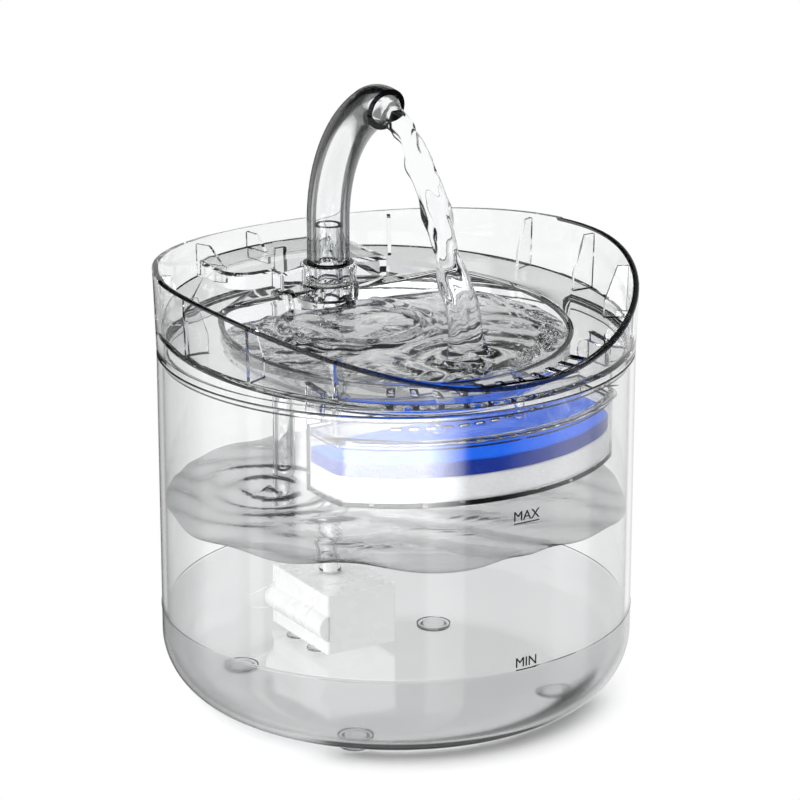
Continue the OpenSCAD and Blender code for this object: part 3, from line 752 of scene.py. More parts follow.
def shift(result: dict, by: Vector) -> None:
    """Moves the points that a mesh operation made.

    Args:
        result: what the operation returned.
        by: how far they move.
    """
    for item in result["geom"]:
        if isinstance(item, bmesh.types.BMVert):
            item.co += by


def mesh_of(piece: Piece) -> bpy.types.Mesh:
    """A new mesh of an object as its modifiers or its text leave it.

    Args:
        piece: the object.

    Returns:
        The mesh.
    """
    bpy.context.view_layer.update()
    return bpy.data.meshes.new_from_object(
        piece.evaluated_get(bpy.context.evaluated_depsgraph_get()))


def arc(centre: Pair, radius: float, start: float, end: float, steps: int = 10) -> Section:
    """Points along an arc, with angles in degrees.

    Args:
        centre: the arc's centre.
        radius: its radius.
        start: its first angle.
        end: its last angle.
        steps: how many straight pieces it has.

    Returns:
        The points.
    """
    angles = [math.radians(start + (end - start) * k / steps) for k in range(steps + 1)]
    return [(centre[0] + radius * math.cos(a), centre[1] + radius * math.sin(a))
            for a in angles]


def run(start: Pair, end: Pair, steps: int) -> Section:
    """Points along a straight line, without its start."""
    return [(start[0] + (end[0] - start[0]) * k / steps,
             start[1] + (end[1] - start[1]) * k / steps) for k in range(1, steps + 1)]


def circle(radius: float, sides: int) -> Section:
    """Points around the origin."""
    return [(radius * math.cos(FULL_TURN * k / sides), radius * math.sin(FULL_TURN * k / sides))
            for k in range(sides)]


def loft(mesh: Mesh, rings: Sequence[Ring], capped: bool = False, flip: bool = False) -> None:
    """Joins rings of points with faces, each ring with the next.

    Args:
        mesh: the mesh that has the points.
        rings: the rings; a ring of one point is a pole.
        capped: whether the first and the last ring are closed with a face.
        flip: whether the faces point the other way.
    """
    for lower, upper in zip(rings, rings[1:]):
        count = max(len(lower), len(upper))
        if count == 1:
            continue
        for k in range(count):
            n = (k + 1) % count
            loop = ([lower[k], lower[n]] if len(lower) > 1 else lower[:])
            loop += ([upper[n], upper[k]] if len(upper) > 1 else upper)
            mesh.faces.new(loop[::-1] if flip else loop)
    if capped:
        mesh.faces.new(rings[0][::-1])
        mesh.faces.new(rings[-1])


def turned(profile: Section, steps: int) -> Mesh:
    """Turns a closed section about the Z axis.

    Args:
        profile: points (radius, height); a radius of 0 closes the shape on the axis.
        steps: how many sides the turn has.

    Returns:
        The closed shape.
    """
    mesh = bmesh.new()
    rings = [[mesh.verts.new((x, y, height)) for x, y in
              (circle(radius, steps) if radius > 0.0 else [(0.0, 0.0)])]
             for radius, height in profile]
    loft(mesh, rings + rings[:1])
    bmesh.ops.recalc_face_normals(mesh, faces=mesh.faces)
    return mesh


def rings_along(mesh: Mesh, path: Sequence[Vector], side: Vector,
                outline: Callable[[int], Section]) -> list[Ring]:
    """Places an outline square to a path at each of its points.

    Args:
        mesh: the mesh that receives the points.
        path: the points of the path.
        side: a direction that stays across the path.
        outline: gives the outline at each point.

    Returns:
        The outlines' points.
    """
    rings = []
    for number, point in enumerate(path):
        ahead = path[min(number + 1, len(path) - 1)] - path[max(number - 1, 0)]
        ahead.normalize()
        across = (side - ahead * side.dot(ahead)).normalized()
        over = ahead.cross(across)
        rings.append([mesh.verts.new(point + across * u + over * v)
                      for u, v in outline(number)])
    return rings


def water_sheet(rings: int, sides: int, reach: Callable[[float], float],
                top: Callable[[float, float, float], float],
                bottom: Callable[[float, float, float], float]) -> Mesh:
    """A thin sheet of water that fills a roughly round outline.

    Args:
        rings: how many rings of faces it has.
        sides: how many faces each ring has.
        reach: how far it reaches from its middle along a bearing.
        top: its upper side's height, from a point's X, Y and radius.
        bottom: its lower side's height, from the same.

    Returns:
        The closed sheet.
    """
    mesh = bmesh.new()

    def points(height: Callable[[float, float, float], float]) -> list[Ring]:
        """The points of one side, ring by ring."""
        grid = []
        for ring in range(rings + 1):
            row = []
            for k in range(sides if ring else 1):
                angle = FULL_TURN * k / sides
                radius = reach(angle) * ring / rings
                x, y = radius * math.cos(angle), radius * math.sin(angle)
                row.append(mesh.verts.new((x, y, height(x, y, radius))))
            grid.append(row)
        return grid

    upper, lower = points(top), points(bottom)
    for grid, order in ((upper, 1), (lower, -1)):
        for inner, outer in zip(grid, grid[1:]):
            for k in range(sides):
                n = (k + 1) % sides
                loop = [inner[0], outer[k], outer[n]]
                if len(inner) > 1:
                    loop = [inner[k], outer[k], outer[n], inner[n]]
                mesh.faces.new(loop[::order])
    loft(mesh, [lower[-1], upper[-1]])
    return mesh


def dying_rings(x: float, y: float, centre: Pair, height: float, fade: float,
                pitch: float) -> float:
    """The height of rings that die away around a point.

    Args:
        x: the place's X in millimetres.
        y: its Y.
        centre: the rings' centre.
        height: the height at the centre.
        fade: how far out it has fallen to a third.
        pitch: how close the rings are, in radians for each millimetre.

    Returns:
        The height in millimetres.
    """
    away = math.hypot(x - centre[0], y - centre[1])
    return height * math.exp(-away / fade) * math.cos(away * pitch)


def ridge(at: float, where: float, width: float) -> float:
    """A ridge that is 1 high at a place and falls away to both sides."""
    return math.exp(-((at - where) / width) ** 2)


@dataclass(frozen=True)
class Wave:
    """A wave over water, whose crests a slower one may bend.

    Args:
        height: its height in millimetres.
        across: its radians for each millimetre along X.
        along: the same along Y.
        start: its radians at the origin.
        bend: how far its crests are bent, in radians.
        bend_across: the bend's radians for each millimetre along X.
        bend_along: the same along Y.
    """

    height: float
    across: float
    along: float = 0.0
    start: float = 0.0
    bend: float = 0.0
    bend_across: float = 0.0
    bend_along: float = 0.0

    def at(self, x: float, y: float) -> float:
        """The wave's height at a place, all in millimetres."""
        bend = self.bend * math.sin(x * self.bend_across + y * self.bend_along)
        return self.height * math.sin(x * self.across + y * self.along + self.start + bend)


TANK_WAVES = (Wave(1.1, 0.075, bend=1.3, bend_along=0.05), Wave(0.9, -0.045, 0.11, start=0.7),
              Wave(0.45, 0.21, 0.17, bend=1.2, bend_across=0.09))
BASIN_WAVES = (Wave(0.3, 0.16, bend=1.5, bend_along=0.1), Wave(0.25, -0.08, 0.23))
BRIM_RUFFLE = Wave(1.1, 0.55, bend=1.4, bend_across=0.21)
# Lumps of the falling stream: height, number around it, turns along it and start.
STREAM_LUMPS = ((0.16, 2, 13, 0.0), (0.1, 3, -22, 0.0), (0.1, 0, 31, 1.0), (0.06, 5, 47, 0.0))


def from_node(frame: dict, node: str) -> Mesh:
    """A merged copy of a node's mesh.

    Args:
        frame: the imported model.
        node: the node's name.

    Returns:
        The copy.
    """
    mesh = editable(frame["nodes"][node].data)
    bmesh.ops.remove_doubles(mesh, verts=mesh.verts, dist=2 * MERGE)
    unmark(mesh)
    return mesh


def ease(mesh: Mesh, offset: float, over: float, steps: int, where: Callable[[Edge], bool],
         strip: int = 1) -> int:
    """Rounds a mesh's sharp edges.

    Args:
        mesh: the mesh.
        offset: how far the rounding reaches from each edge, in metres.
        over: edges over this angle, in degrees, are rounded.
        steps: segments across each rounding.
        where: tells which edges are meant.
        strip: the number of the rounding's material.

    Returns:
        How many edges were rounded.
    """
    sharp = [e for e in mesh.edges if len(e.link_faces) == 2 and where(e)
             and e.calc_face_angle(0.0) > math.radians(over)]
    bmesh.ops.bevel(mesh, geom=sharp, offset=offset, offset_type="OFFSET", segments=steps,
                    profile=0.5, affect="EDGES", clamp_overlap=False, loop_slide=True,
                    material=strip)
    return len(sharp)


def roomy(edge: Edge) -> bool:
    """Whether an edge has room on both sides, and beyond its ends, for its rounding.

    Args:
        edge: the edge.

    Returns:
        True where its rounding fits.
    """
    least_width, least_length = 1.1 * MM, 0.8 * MM
    length = edge.calc_length()
    return (all(face.calc_area() > length * least_width for face in edge.link_faces)
            and all(other.calc_length() > least_length
                    for vert in edge.verts for other in vert.link_edges))


def softened(frame: dict, node: str, offset: float, over: float = 28.0, steps: int = 2,
             where: Callable[[Edge], bool] = lambda edge: True) -> Mesh:
    """A merged copy of a node's mesh with its sharp edges rounded.

    Args:
        frame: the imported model.
        node: the node's name.
        offset: how far the rounding reaches from each edge, in metres.
        over: edges over this angle, in degrees, are rounded.
        steps: segments across each rounding.
        where: tells which edges are meant.

    Returns:
        The rounded copy.
    """
    mesh = from_node(frame, node)
    bmesh.ops.dissolve_limit(mesh, angle_limit=math.radians(0.3), verts=mesh.verts,
                             edges=mesh.edges, delimit=set())
    LOG.info("%s: %d edges rounded", node, ease(mesh, offset, over, steps, where))
    return mesh


@dataclass(frozen=True)
class FourCorners:
    """Copies of one shape at the corners of a rectangle, laid out by a node tree.

    Args:
        name: the tree's name.
        width: the rectangle's size along X.
        depth: its size along Y.
        centre: its middle.
        finish: the finish of the copies.
    """

    name: str
    width: float
    depth: float
    centre: tuple[float, float, float]
    finish: Finish

    def tree(self) -> tuple[bpy.types.NodeTree, dict[str, str]]:
        """Builds the node tree.

        Returns:
            The tree, and each named input's identifier.
        """
        tree = bpy.data.node_groups.new(self.name, "GeometryNodeTree")
        faces = tree.interface
        faces.new_socket("Shape", in_out="INPUT", socket_type="NodeSocketGeometry")
        sockets = {
            label: faces.new_socket(label, in_out="INPUT", socket_type=kind).identifier
            for label, kind in (("Width", "NodeSocketFloat"), ("Depth", "NodeSocketFloat"),
                                ("Centre", "NodeSocketVector"), ("Finish", "NodeSocketMaterial"))}
        faces.new_socket("Copies", in_out="OUTPUT", socket_type="NodeSocketGeometry")
        graph = Graph(tree)
        given = graph.add("NodeGroupInput").outputs
        grid = graph.add("GeometryNodeMeshGrid", {
            "Vertices X": 2, "Vertices Y": 2, "Size X": given["Width"],
            "Size Y": given["Depth"]})
        moved = graph.add("GeometryNodeTransform", {
            "Geometry": grid.outputs["Mesh"], "Translation": given["Centre"]})
        copies = graph.add("GeometryNodeInstanceOnPoints", {
            "Points": moved.outputs["Geometry"], "Instance": given["Shape"]})
        real = graph.add("GeometryNodeRealizeInstances", {
            "Geometry": copies.outputs["Instances"]})
        clad = graph.add("GeometryNodeSetMaterial", {
            "Geometry": real.outputs["Geometry"], "Material": given["Finish"]})
        graph.add("NodeGroupOutput", {"Copies": clad.outputs["Geometry"]})
        return tree, sockets

    def copies(self, shape: Mesh) -> Mesh:
        """Lays out the copies.

        Args:
            shape: the one shape, about the origin, which is freed.

        Returns:
            All the copies as one mesh.
        """
        data = bpy.data.meshes.new(self.name)
        shape.to_mesh(data)
        shape.free()
        holder = added(self.name, data)
        tree, sockets = self.tree()
        layout = holder.modifiers.new(self.name, "NODES")
        layout.node_group = tree
        layout[sockets["Width"]] = self.width
        layout[sockets["Depth"]] = self.depth
        layout[sockets["Centre"]] = self.centre
        layout[sockets["Finish"]] = self.finish.material()
        whole = mesh_of(holder)
        holder.modifiers.remove(layout)
        mesh = editable(whole)
        bpy.data.objects.remove(holder)
        for spare in (data, whole):
            bpy.data.meshes.remove(spare)
        return mesh


def dress(frame: dict, finish: Finish, nodes: Iterable[str]) -> None:
    """Gives CAD nodes a finish.

    Args:
        frame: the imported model.
        finish: the finish.
        nodes: the nodes' names.
    """
    for node in nodes:
        data = frame["nodes"][node].data
        data.materials.clear()
        data.materials.append(finish.material())
        LOG.info("%s is finished as %s", node, finish.name)


# ---------------------------------------------------------------- the studio


@dataclass(frozen=True)
class Panel:
    """A pattern of light in the surround: one around the horizon times one upwards.

    Args:
        around: pairs of a bearing in degrees, from straight ahead, and a brightness.
        upward: pairs of a height, from 0, straight down, to 1, and a brightness.
    """

    around: tuple[Pair, ...]
    upward: tuple[Pair, ...]

    def light(self, graph: Graph, bearing: Socket, rise: Socket) -> Socket:
        """Adds the pattern.

        Args:
            graph: the world's graph.
            bearing: the bearing's socket, from 0 to 1 all the way around.
            rise: the height's socket.

        Returns:
            The light's colour.
        """
        around = [(degrees / 360.0 + 0.5, level) for degrees, level in self.around]
        return graph.product(graph.ramp(bearing, around), graph.ramp(rise, self.upward))


# What is seen through the clear pieces.
THROUGH = Panel(
    ((-180, 0.06), (-130, 0.1), (-118, 0.6), (-100, 0.95), (-80, 0.95), (-70, 0.7), (-58, 0.45),
     (-34, 0.45), (-27, 0.7), (-19, 1.0), (19, 1.0), (27, 0.7), (34, 0.45), (58, 0.45),
     (70, 0.7), (80, 0.95), (100, 0.95), (112, 0.6), (124, 0.08), (180, 0.06)),
    ((0.0, 0.95), (0.49, 1.0), (0.53, 0.08), (0.7, 0.02), (1.0, 0.02)))
# What glossy faces reflect.
GLOSS = Panel(
    ((-180, 0.9), (-136, 0.9), (-131, 0.1), (-102, 0.1), (-96, 0.9), (-76, 0.9), (-70, 0.3),
     (-64, 0.04), (-12, 0.04), (-7, 0.9), (52, 0.9), (70, 0.3), (76, 0.9), (96, 0.9),
     (102, 0.1), (150, 0.1), (165, 0.9), (180, 0.9)),
    ((0.0, 0.1), (0.18, 0.15), (0.24, 1.0), (0.5, 1.0), (0.6, 0.6), (0.75, 0.3), (1.0, 0.1)))
# Two narrow lamps beside the fountain, low down.
STRIPS = Panel(
    ((-114, 0.0), (-112, 1.0), (-106, 1.0), (-104, 0.0), (146, 0.0), (148, 1.0), (164, 1.0),
     (167, 0.0)),
    ((0.0, 0.0), (0.27, 1.0), (0.34, 1.0), (0.36, 0.0)))
# The broad lamp in front.
SOFTBOX = Panel(
    ((-180, 1.0), (-134, 1.0), (-129, 0.0), (144, 0.0), (166, 1.0), (180, 1.0)),
    ((0.0, 0.0), (0.328, 0.0), (0.338, 1.0), (0.372, 1.0), (0.4, 0.3), (0.6, 0.0), (1.0, 0.0)))
# What lights the matt pieces.
FILL = Panel(
    ((-180, 0.62), (-150, 0.9), (-110, 1.0), (-60, 0.85), (0, 0.72), (60, 0.6), (120, 0.46),
     (180, 0.62)),
    ((0.0, 0.55), (0.45, 0.8), (0.6, 1.0), (1.0, 1.0)))


@dataclass(frozen=True)
class Studio:
    """Camera, white floor, soft lamps and a surround that glass can show.

    Args:
        turn: the camera's bearing about the fountain.
        distance: how far it stands from the fountain's axis.
        height: its height.
        pitch: how far it looks down.
        lens: its focal length in millimetres, on a 36 mm sensor.
        shift: how far its picture is shifted across, as a share of its width.
        softbox: the broad lamp's brightness.
        strips: the narrow lamps' brightness.
        fill: the matt pieces' light.
        floor_r: the floor's radius.
        shadow: the radii between which the floor's shadow fades into white.
    """

    turn: float = math.radians(-31.0)
    distance: float = 1.479
    height: float = 0.5877
    pitch: float = math.radians(17.6)
    lens: float = 180.0
    shift: float = 3.9 / 800.0
    softbox: float = 7.5
    strips: float = 1.6
    fill: float = 2.2
    floor_r: float = 6.0
    shadow: Pair = (70.0 * MM, 105.0 * MM)

    def camera(self) -> Piece:
        """Places the camera and makes it the scene's.

        Returns:
            The camera.
        """
        data = bpy.data.cameras.new("camera")
        data.lens = self.lens
        data.sensor_width = 36.0
        data.shift_x = self.shift
        data.clip_end = 50.0
        camera = added("camera", data)
        camera.location = (self.distance * math.sin(self.turn),
                           -self.distance * math.cos(self.turn), self.height)
        camera.rotation_euler = (math.pi / 2 - self.pitch, 0.0, self.turn)
        bpy.context.scene.camera = camera
        return camera

    def surround(self) -> None:
        """White for the eye, and a banded studio for what the glass shows."""
        world = bpy.data.worlds.new("surround")
        bpy.context.scene.world = world
        graph = Graph.fresh(world)
        way = graph.add("ShaderNodeTexCoord").outputs["Generated"]
        spun = graph.add("ShaderNodeVectorRotate", {"Vector": way, "Angle": -self.turn},
                         rotation_type="Z_AXIS")
        across, ahead, up = graph.axes(spun.outputs[0])
        bearing = graph.maths("DIVIDE", graph.maths("ARCTAN2", across, ahead), FULL_TURN)
        bearing = graph.maths("ADD", bearing, 0.5)
        rise = graph.maths("MULTIPLY_ADD", up, 0.5, 0.5)
        gloss, through, strips, box, fill = (
            panel.light(graph, bearing, rise)
            for panel in (GLOSS, THROUGH, STRIPS, SOFTBOX, FILL))
        gloss = graph.vector("MULTIPLY_ADD", box, (self.softbox,) * 3, gloss)
        gloss = graph.vector("MULTIPLY_ADD", strips, (self.strips,) * 3, gloss)
        through = graph.vector("MULTIPLY_ADD", box, (self.softbox,) * 3, through)
        fill = graph.add("ShaderNodeVectorMath", {0: fill, "Scale": self.fill},
                         operation="SCALE").outputs[0]
        path = graph.add("ShaderNodeLightPath").outputs
        light = graph.choose(path["Is Glossy Ray"], (0.92, 0.93, 0.94, 1.0), gloss)
        light = graph.choose(path["Is Transmission Ray"], light, through)
        spread = graph.maths("GREATER_THAN", path["Diffuse Depth"], 0.5)
        light = graph.choose(spread, light, fill)
        light = graph.choose(path["Is Camera Ray"], light, (1.0, 1.0, 1.0, 1.0))
        shown = graph.add("ShaderNodeBackground", {"Color": light})
        graph.add("ShaderNodeOutputWorld", {"Surface": shown.outputs[0]})

    def floor(self) -> None:
        """A white floor that keeps a soft shadow near the fountain."""
        bpy.ops.mesh.primitive_circle_add(vertices=128, radius=self.floor_r, fill_type="NGON",
                                          location=(0, 0, -0.3 * MM))
        plane = bpy.context.object
        plane.name = "floor"
        material = bpy.data.materials.new("floor_white")
        graph = Graph.fresh(material)
        paper = graph.add("ShaderNodeBsdfDiffuse", {"Color": (0.8, 0.8, 0.8, 1.0)})
        white = graph.add("ShaderNodeEmission", {"Color": (1.0, 1.0, 1.0, 1.0)})
        far = graph.span(graph.vector("LENGTH", graph.place()), *self.shadow,
                         interpolation_type="SMOOTHSTEP")
        mix = graph.add("ShaderNodeMixShader", {0: far, 1: paper.outputs[0], 2: white.outputs[0]})
        graph.add("ShaderNodeOutputMaterial", {"Surface": mix.outputs[0]})
        plane.data.materials.append(material)
        plane.visible_transmission = False
        plane.visible_glossy = False
        plane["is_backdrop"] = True

    def lamps(self) -> None:
        """One soft key from the front left and one from above."""
        aim = Vector((0, 0, 0.1))
        for name, at, power, size in (
            ("key", (-1.3, -1.3, 1.5), 14.0, 0.9),
            ("top", (0.1, 0.1, 1.6), 6.0, 1.0),
        ):
            data = bpy.data.lights.new(name, "AREA")
            data.energy = power
            data.size = size
            lamp = added(name, data)
            lamp.location = at
            lamp.rotation_euler = (aim - Vector(at)).to_track_quat("-Z", "Y").to_euler()
            lamp.visible_glossy = False
            lamp.visible_transmission = False

    def build(self) -> None:
        """Sets up the view, the floor and the light."""
        scene = bpy.context.scene
        scene.view_settings.view_transform = "Standard"
        for name, value in (
            ("max_bounces", 40), ("transmission_bounces", 40), ("glossy_bounces", 16),
            ("diffuse_bounces", 4), ("transparent_max_bounces", 32),
            ("caustics_refractive", True), ("caustics_reflective", True), ("blur_glossy", 0.0),
        ):
            setattr(scene.cycles, name, value)
        self.camera()
        self.surround()
        self.floor()
        self.lamps()


# ---------------------------------------------------------------- the tank


@dataclass(frozen=True)
class Tank:
    """The clear tank, its feet, its level marks and its water.

    Args:
        frame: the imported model.
        mouth_r: the wall's outer radius at the mouth.
        foot_r: the wall's outer radius at its foot.
        mouth_z: the mouth's height.
        base_z: the floor's underside.
        wall: the wall's thickness.
        floor_t: the floor's thickness.
        fillet: the outer radius of the turn from the wall into the floor.
        edge: how round the mouth's edges are.
        hold: how near a turn's ends the straight faces keep their direction.
        bead: how far the bead stands out.
        low_mark: the height of the MIN line and its bead.
        high_mark: the height of the MAX line.
        level: the water's height.
    """

    frame: dict
    mouth_r: float = 92.5 * MM
    foot_r: float = 92.1 * MM
    mouth_z: float = 141.0 * MM
    base_z: float = 1.5 * MM
    wall: float = 2.3 * MM
    floor_t: float = 2.4 * MM
    fillet: float = 26.0 * MM
    edge: float = 0.5 * MM
    hold: float = 0.4 * MM
    bead: float = 0.16 * MM
    low_mark: float = 37.5 * MM
    high_mark: float = 95.8 * MM
    level: float = 81.5 * MM

    def radius_at(self, height: float) -> float:
        """The wall's outer radius at a height, without the bead.

        Args:
            height: the height.

        Returns:
            The radius.
        """
        start = self.base_z + self.fillet
        share = (height - start) / (self.mouth_z - start)
        return self.foot_r + (self.mouth_r - self.foot_r) * share

    def shell(self) -> Piece:
        """The tank's wall and floor as one turned shape.

        Returns:
            The shell.
        """
        low, top, wall, edge, hold = self.base_z, self.mouth_z, self.wall, self.edge, self.hold
        inner, floor, mark = self.fillet - wall, low + self.floor_t, self.low_mark
        start, at_bead = low + self.fillet, self.radius_at(mark)
        profile: Section = [(0.0, low), (self.foot_r - self.fillet - hold, low)]
        profile += arc((self.foot_r - self.fillet, start), self.fillet, -90, 0, 32)
        profile += [(self.foot_r, start + hold)]
        profile += [(at_bead + out, mark + rise * MM) for out, rise in
                    ((0.0, -0.6), (self.bead, -0.2), (self.bead, 0.2), (0.0, 0.6))]
        profile += [(self.mouth_r, top - edge - hold)]
        profile += arc((self.mouth_r - edge, top - edge), edge, 0, 90, 5)
        profile += arc((self.mouth_r - wall + edge, top - edge), edge, 90, 180, 5)
        profile += [(self.mouth_r - wall, top - edge - hold),
                    (self.foot_r - wall, floor + inner + hold)]
        profile += arc((self.foot_r - wall - inner, floor + inner), inner, 0, -90, 32)
        profile += [(self.foot_r - wall - inner - hold, floor), (0.0, floor)]
        piece = publish(turned(profile, 320), "tank_shell", TANK_CLEAR, Body.BASE,
                        crease=20.0)
        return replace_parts(piece, "tank")

    def feet(self) -> Piece:
        """Four soft feet with rounded rims.

        Returns:
            The feet.
        """
        low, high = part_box("tank_feet")
        radius, round_over = 7.0 * MM, 0.8 * MM
        profile: Section = [(0.0, 0.0), (4.4 * MM, 0.0), (4.9 * MM, 0.35 * MM), (5.4 * MM, 0.0)]
        profile += arc((radius - round_over, round_over), round_over, -80, 0, 6)
        profile += [(radius, high.z), (0.0, high.z)]
        layout = FourCorners("feet_layout", high.x - low.x - 2 * radius,
                             high.y - low.y - 2 * radius, (0.0, 0.0, 0.0), SOFT_CLEAR)
        piece = publish(layout.copies(turned(profile, 48)), "soft_feet", SOFT_CLEAR, Body.BASE)
        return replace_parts(piece, "tank_feet")

    def word(self, word: str) -> Mesh:
        """A word's flat letters, with strokes that are a little broader than the font's.

        Args:
            word: the word.

        Returns:
            The letters, flat on the XY plane.
        """
        curve = bpy.data.curves.new(word, "FONT")
        curve.body = word
        curve.size = 6.2 * MM
        curve.extrude = 0.0
        curve.resolution_u = 6
        text = added(word, curve)
        flat = mesh_of(text)
        bpy.data.objects.remove(text)
        mesh = editable(flat)
        bpy.data.meshes.remove(flat)
        bmesh.ops.triangulate(mesh, faces=mesh.faces)
        bold = bmesh.ops.duplicate(mesh, geom=mesh.verts[:] + mesh.edges[:] + mesh.faces[:])
        shift(bold, Vector((0.13, 0.0, 0.01)) * MM)
        return mesh

    def mark(self, word: str, base: float, left: float, width: float) -> Piece:
        """A level mark: its word above a thin line, printed on the tank's outside.

        Args:
            word: MAX or MIN.
            base: the line's height.
            left: where the mark starts along the wall, in metres from the front.
            width: the mark's width.

        Returns:
            The mark.
        """
        line_t, word_z, ink, sits = 0.45 * MM, 1.25 * MM, 0.06 * MM, 0.01 * MM
        bead_h, steps = 0.7 * MM, 10
        mesh = self.word(word)
        low_x, low_y = (min(v.co[k] for v in mesh.verts) for k in range(2))
        scale = width / (max(v.co.x for v in mesh.verts) - low_x)
        for vert in mesh.verts:
            vert.co.x = (vert.co.x - low_x) * scale
            vert.co.y = (vert.co.y - low_y) * scale + word_z
        line = [mesh.verts.new((width * k / steps, 0.0, 0.0)) for k in range(steps + 1)]
        upper = [mesh.verts.new((v.co.x, line_t, 0.0)) for v in line]
        for k in range(steps):
            mesh.faces.new((line[k], line[k + 1], upper[k + 1], upper[k]))
        shift(bmesh.ops.extrude_face_region(mesh, geom=mesh.faces[:]), Vector((0.0, 0.0, ink)))
        for vert in mesh.verts:
            height = base + vert.co.y
            on_bead = abs(height - self.low_mark) < bead_h
            radius = self.radius_at(height) + (self.bead if on_bead else 0.0) + sits
            angle = (left + vert.co.x) / radius
            reach = radius + vert.co.z
            vert.co = Vector((reach * math.sin(angle), -reach * math.cos(angle), height))
        return publish(mesh, word.lower() + "_mark", INK, Body.BASE,
                       crease=30.0, turn=True)

    def water(self) -> Piece:
        """The rippled surface of the tank's water, as a thin sheet that tapers to its rim.

        Returns:
            The sheet.
        """
        gap, thick, rim_t, taper = 0.35 * MM, 2.0 * MM, 0.12 * MM, 70.0 * MM
        lip_w, lip_h, calm = 2.5 * MM, 0.2 * MM, 0.55
        reach = self.mouth_r - self.wall - gap

        def swell(x: float, y: float) -> float:
            """The water's swell: long waves, and rings beside the falling water."""
            x, y = x / MM, y / MM
            height = dying_rings(x, y, (-40, 30), height=2.4, fade=20, pitch=0.5)
            return (height + sum(wave.at(x, y) for wave in TANK_WAVES)) * MM

        def top(x: float, y: float, radius: float) -> float:
            """The upper side, which climbs the wall a little."""
            climb = max(0.0, (radius - reach + lip_w) / lip_w) ** 2
            return self.level + swell(x, y) + lip_h * climb

        def bottom(x: float, y: float, radius: float) -> float:
            """The lower side, which is calmer."""
            near = min(1.0, (reach - radius) / taper)
            depth = (thick + calm * swell(x, y)) * near + rim_t * (1 - near)
            return top(x, y, radius) - depth

        mesh = water_sheet(60, 144, lambda angle: reach, top, bottom)
        return publish(mesh, "tank_water_surface", TANK_WATER, Body.BASE)

    def build(self) -> None:
        """Makes the tank's pieces."""
        self.shell()
        self.feet()
        self.mark("MAX", self.high_mark, -4.5 * MM, 11.3 * MM)
        self.mark("MIN", self.low_mark, -3.0 * MM, 9.2 * MM)
        self.water()


# ---------------------------------------------------------------- the tray


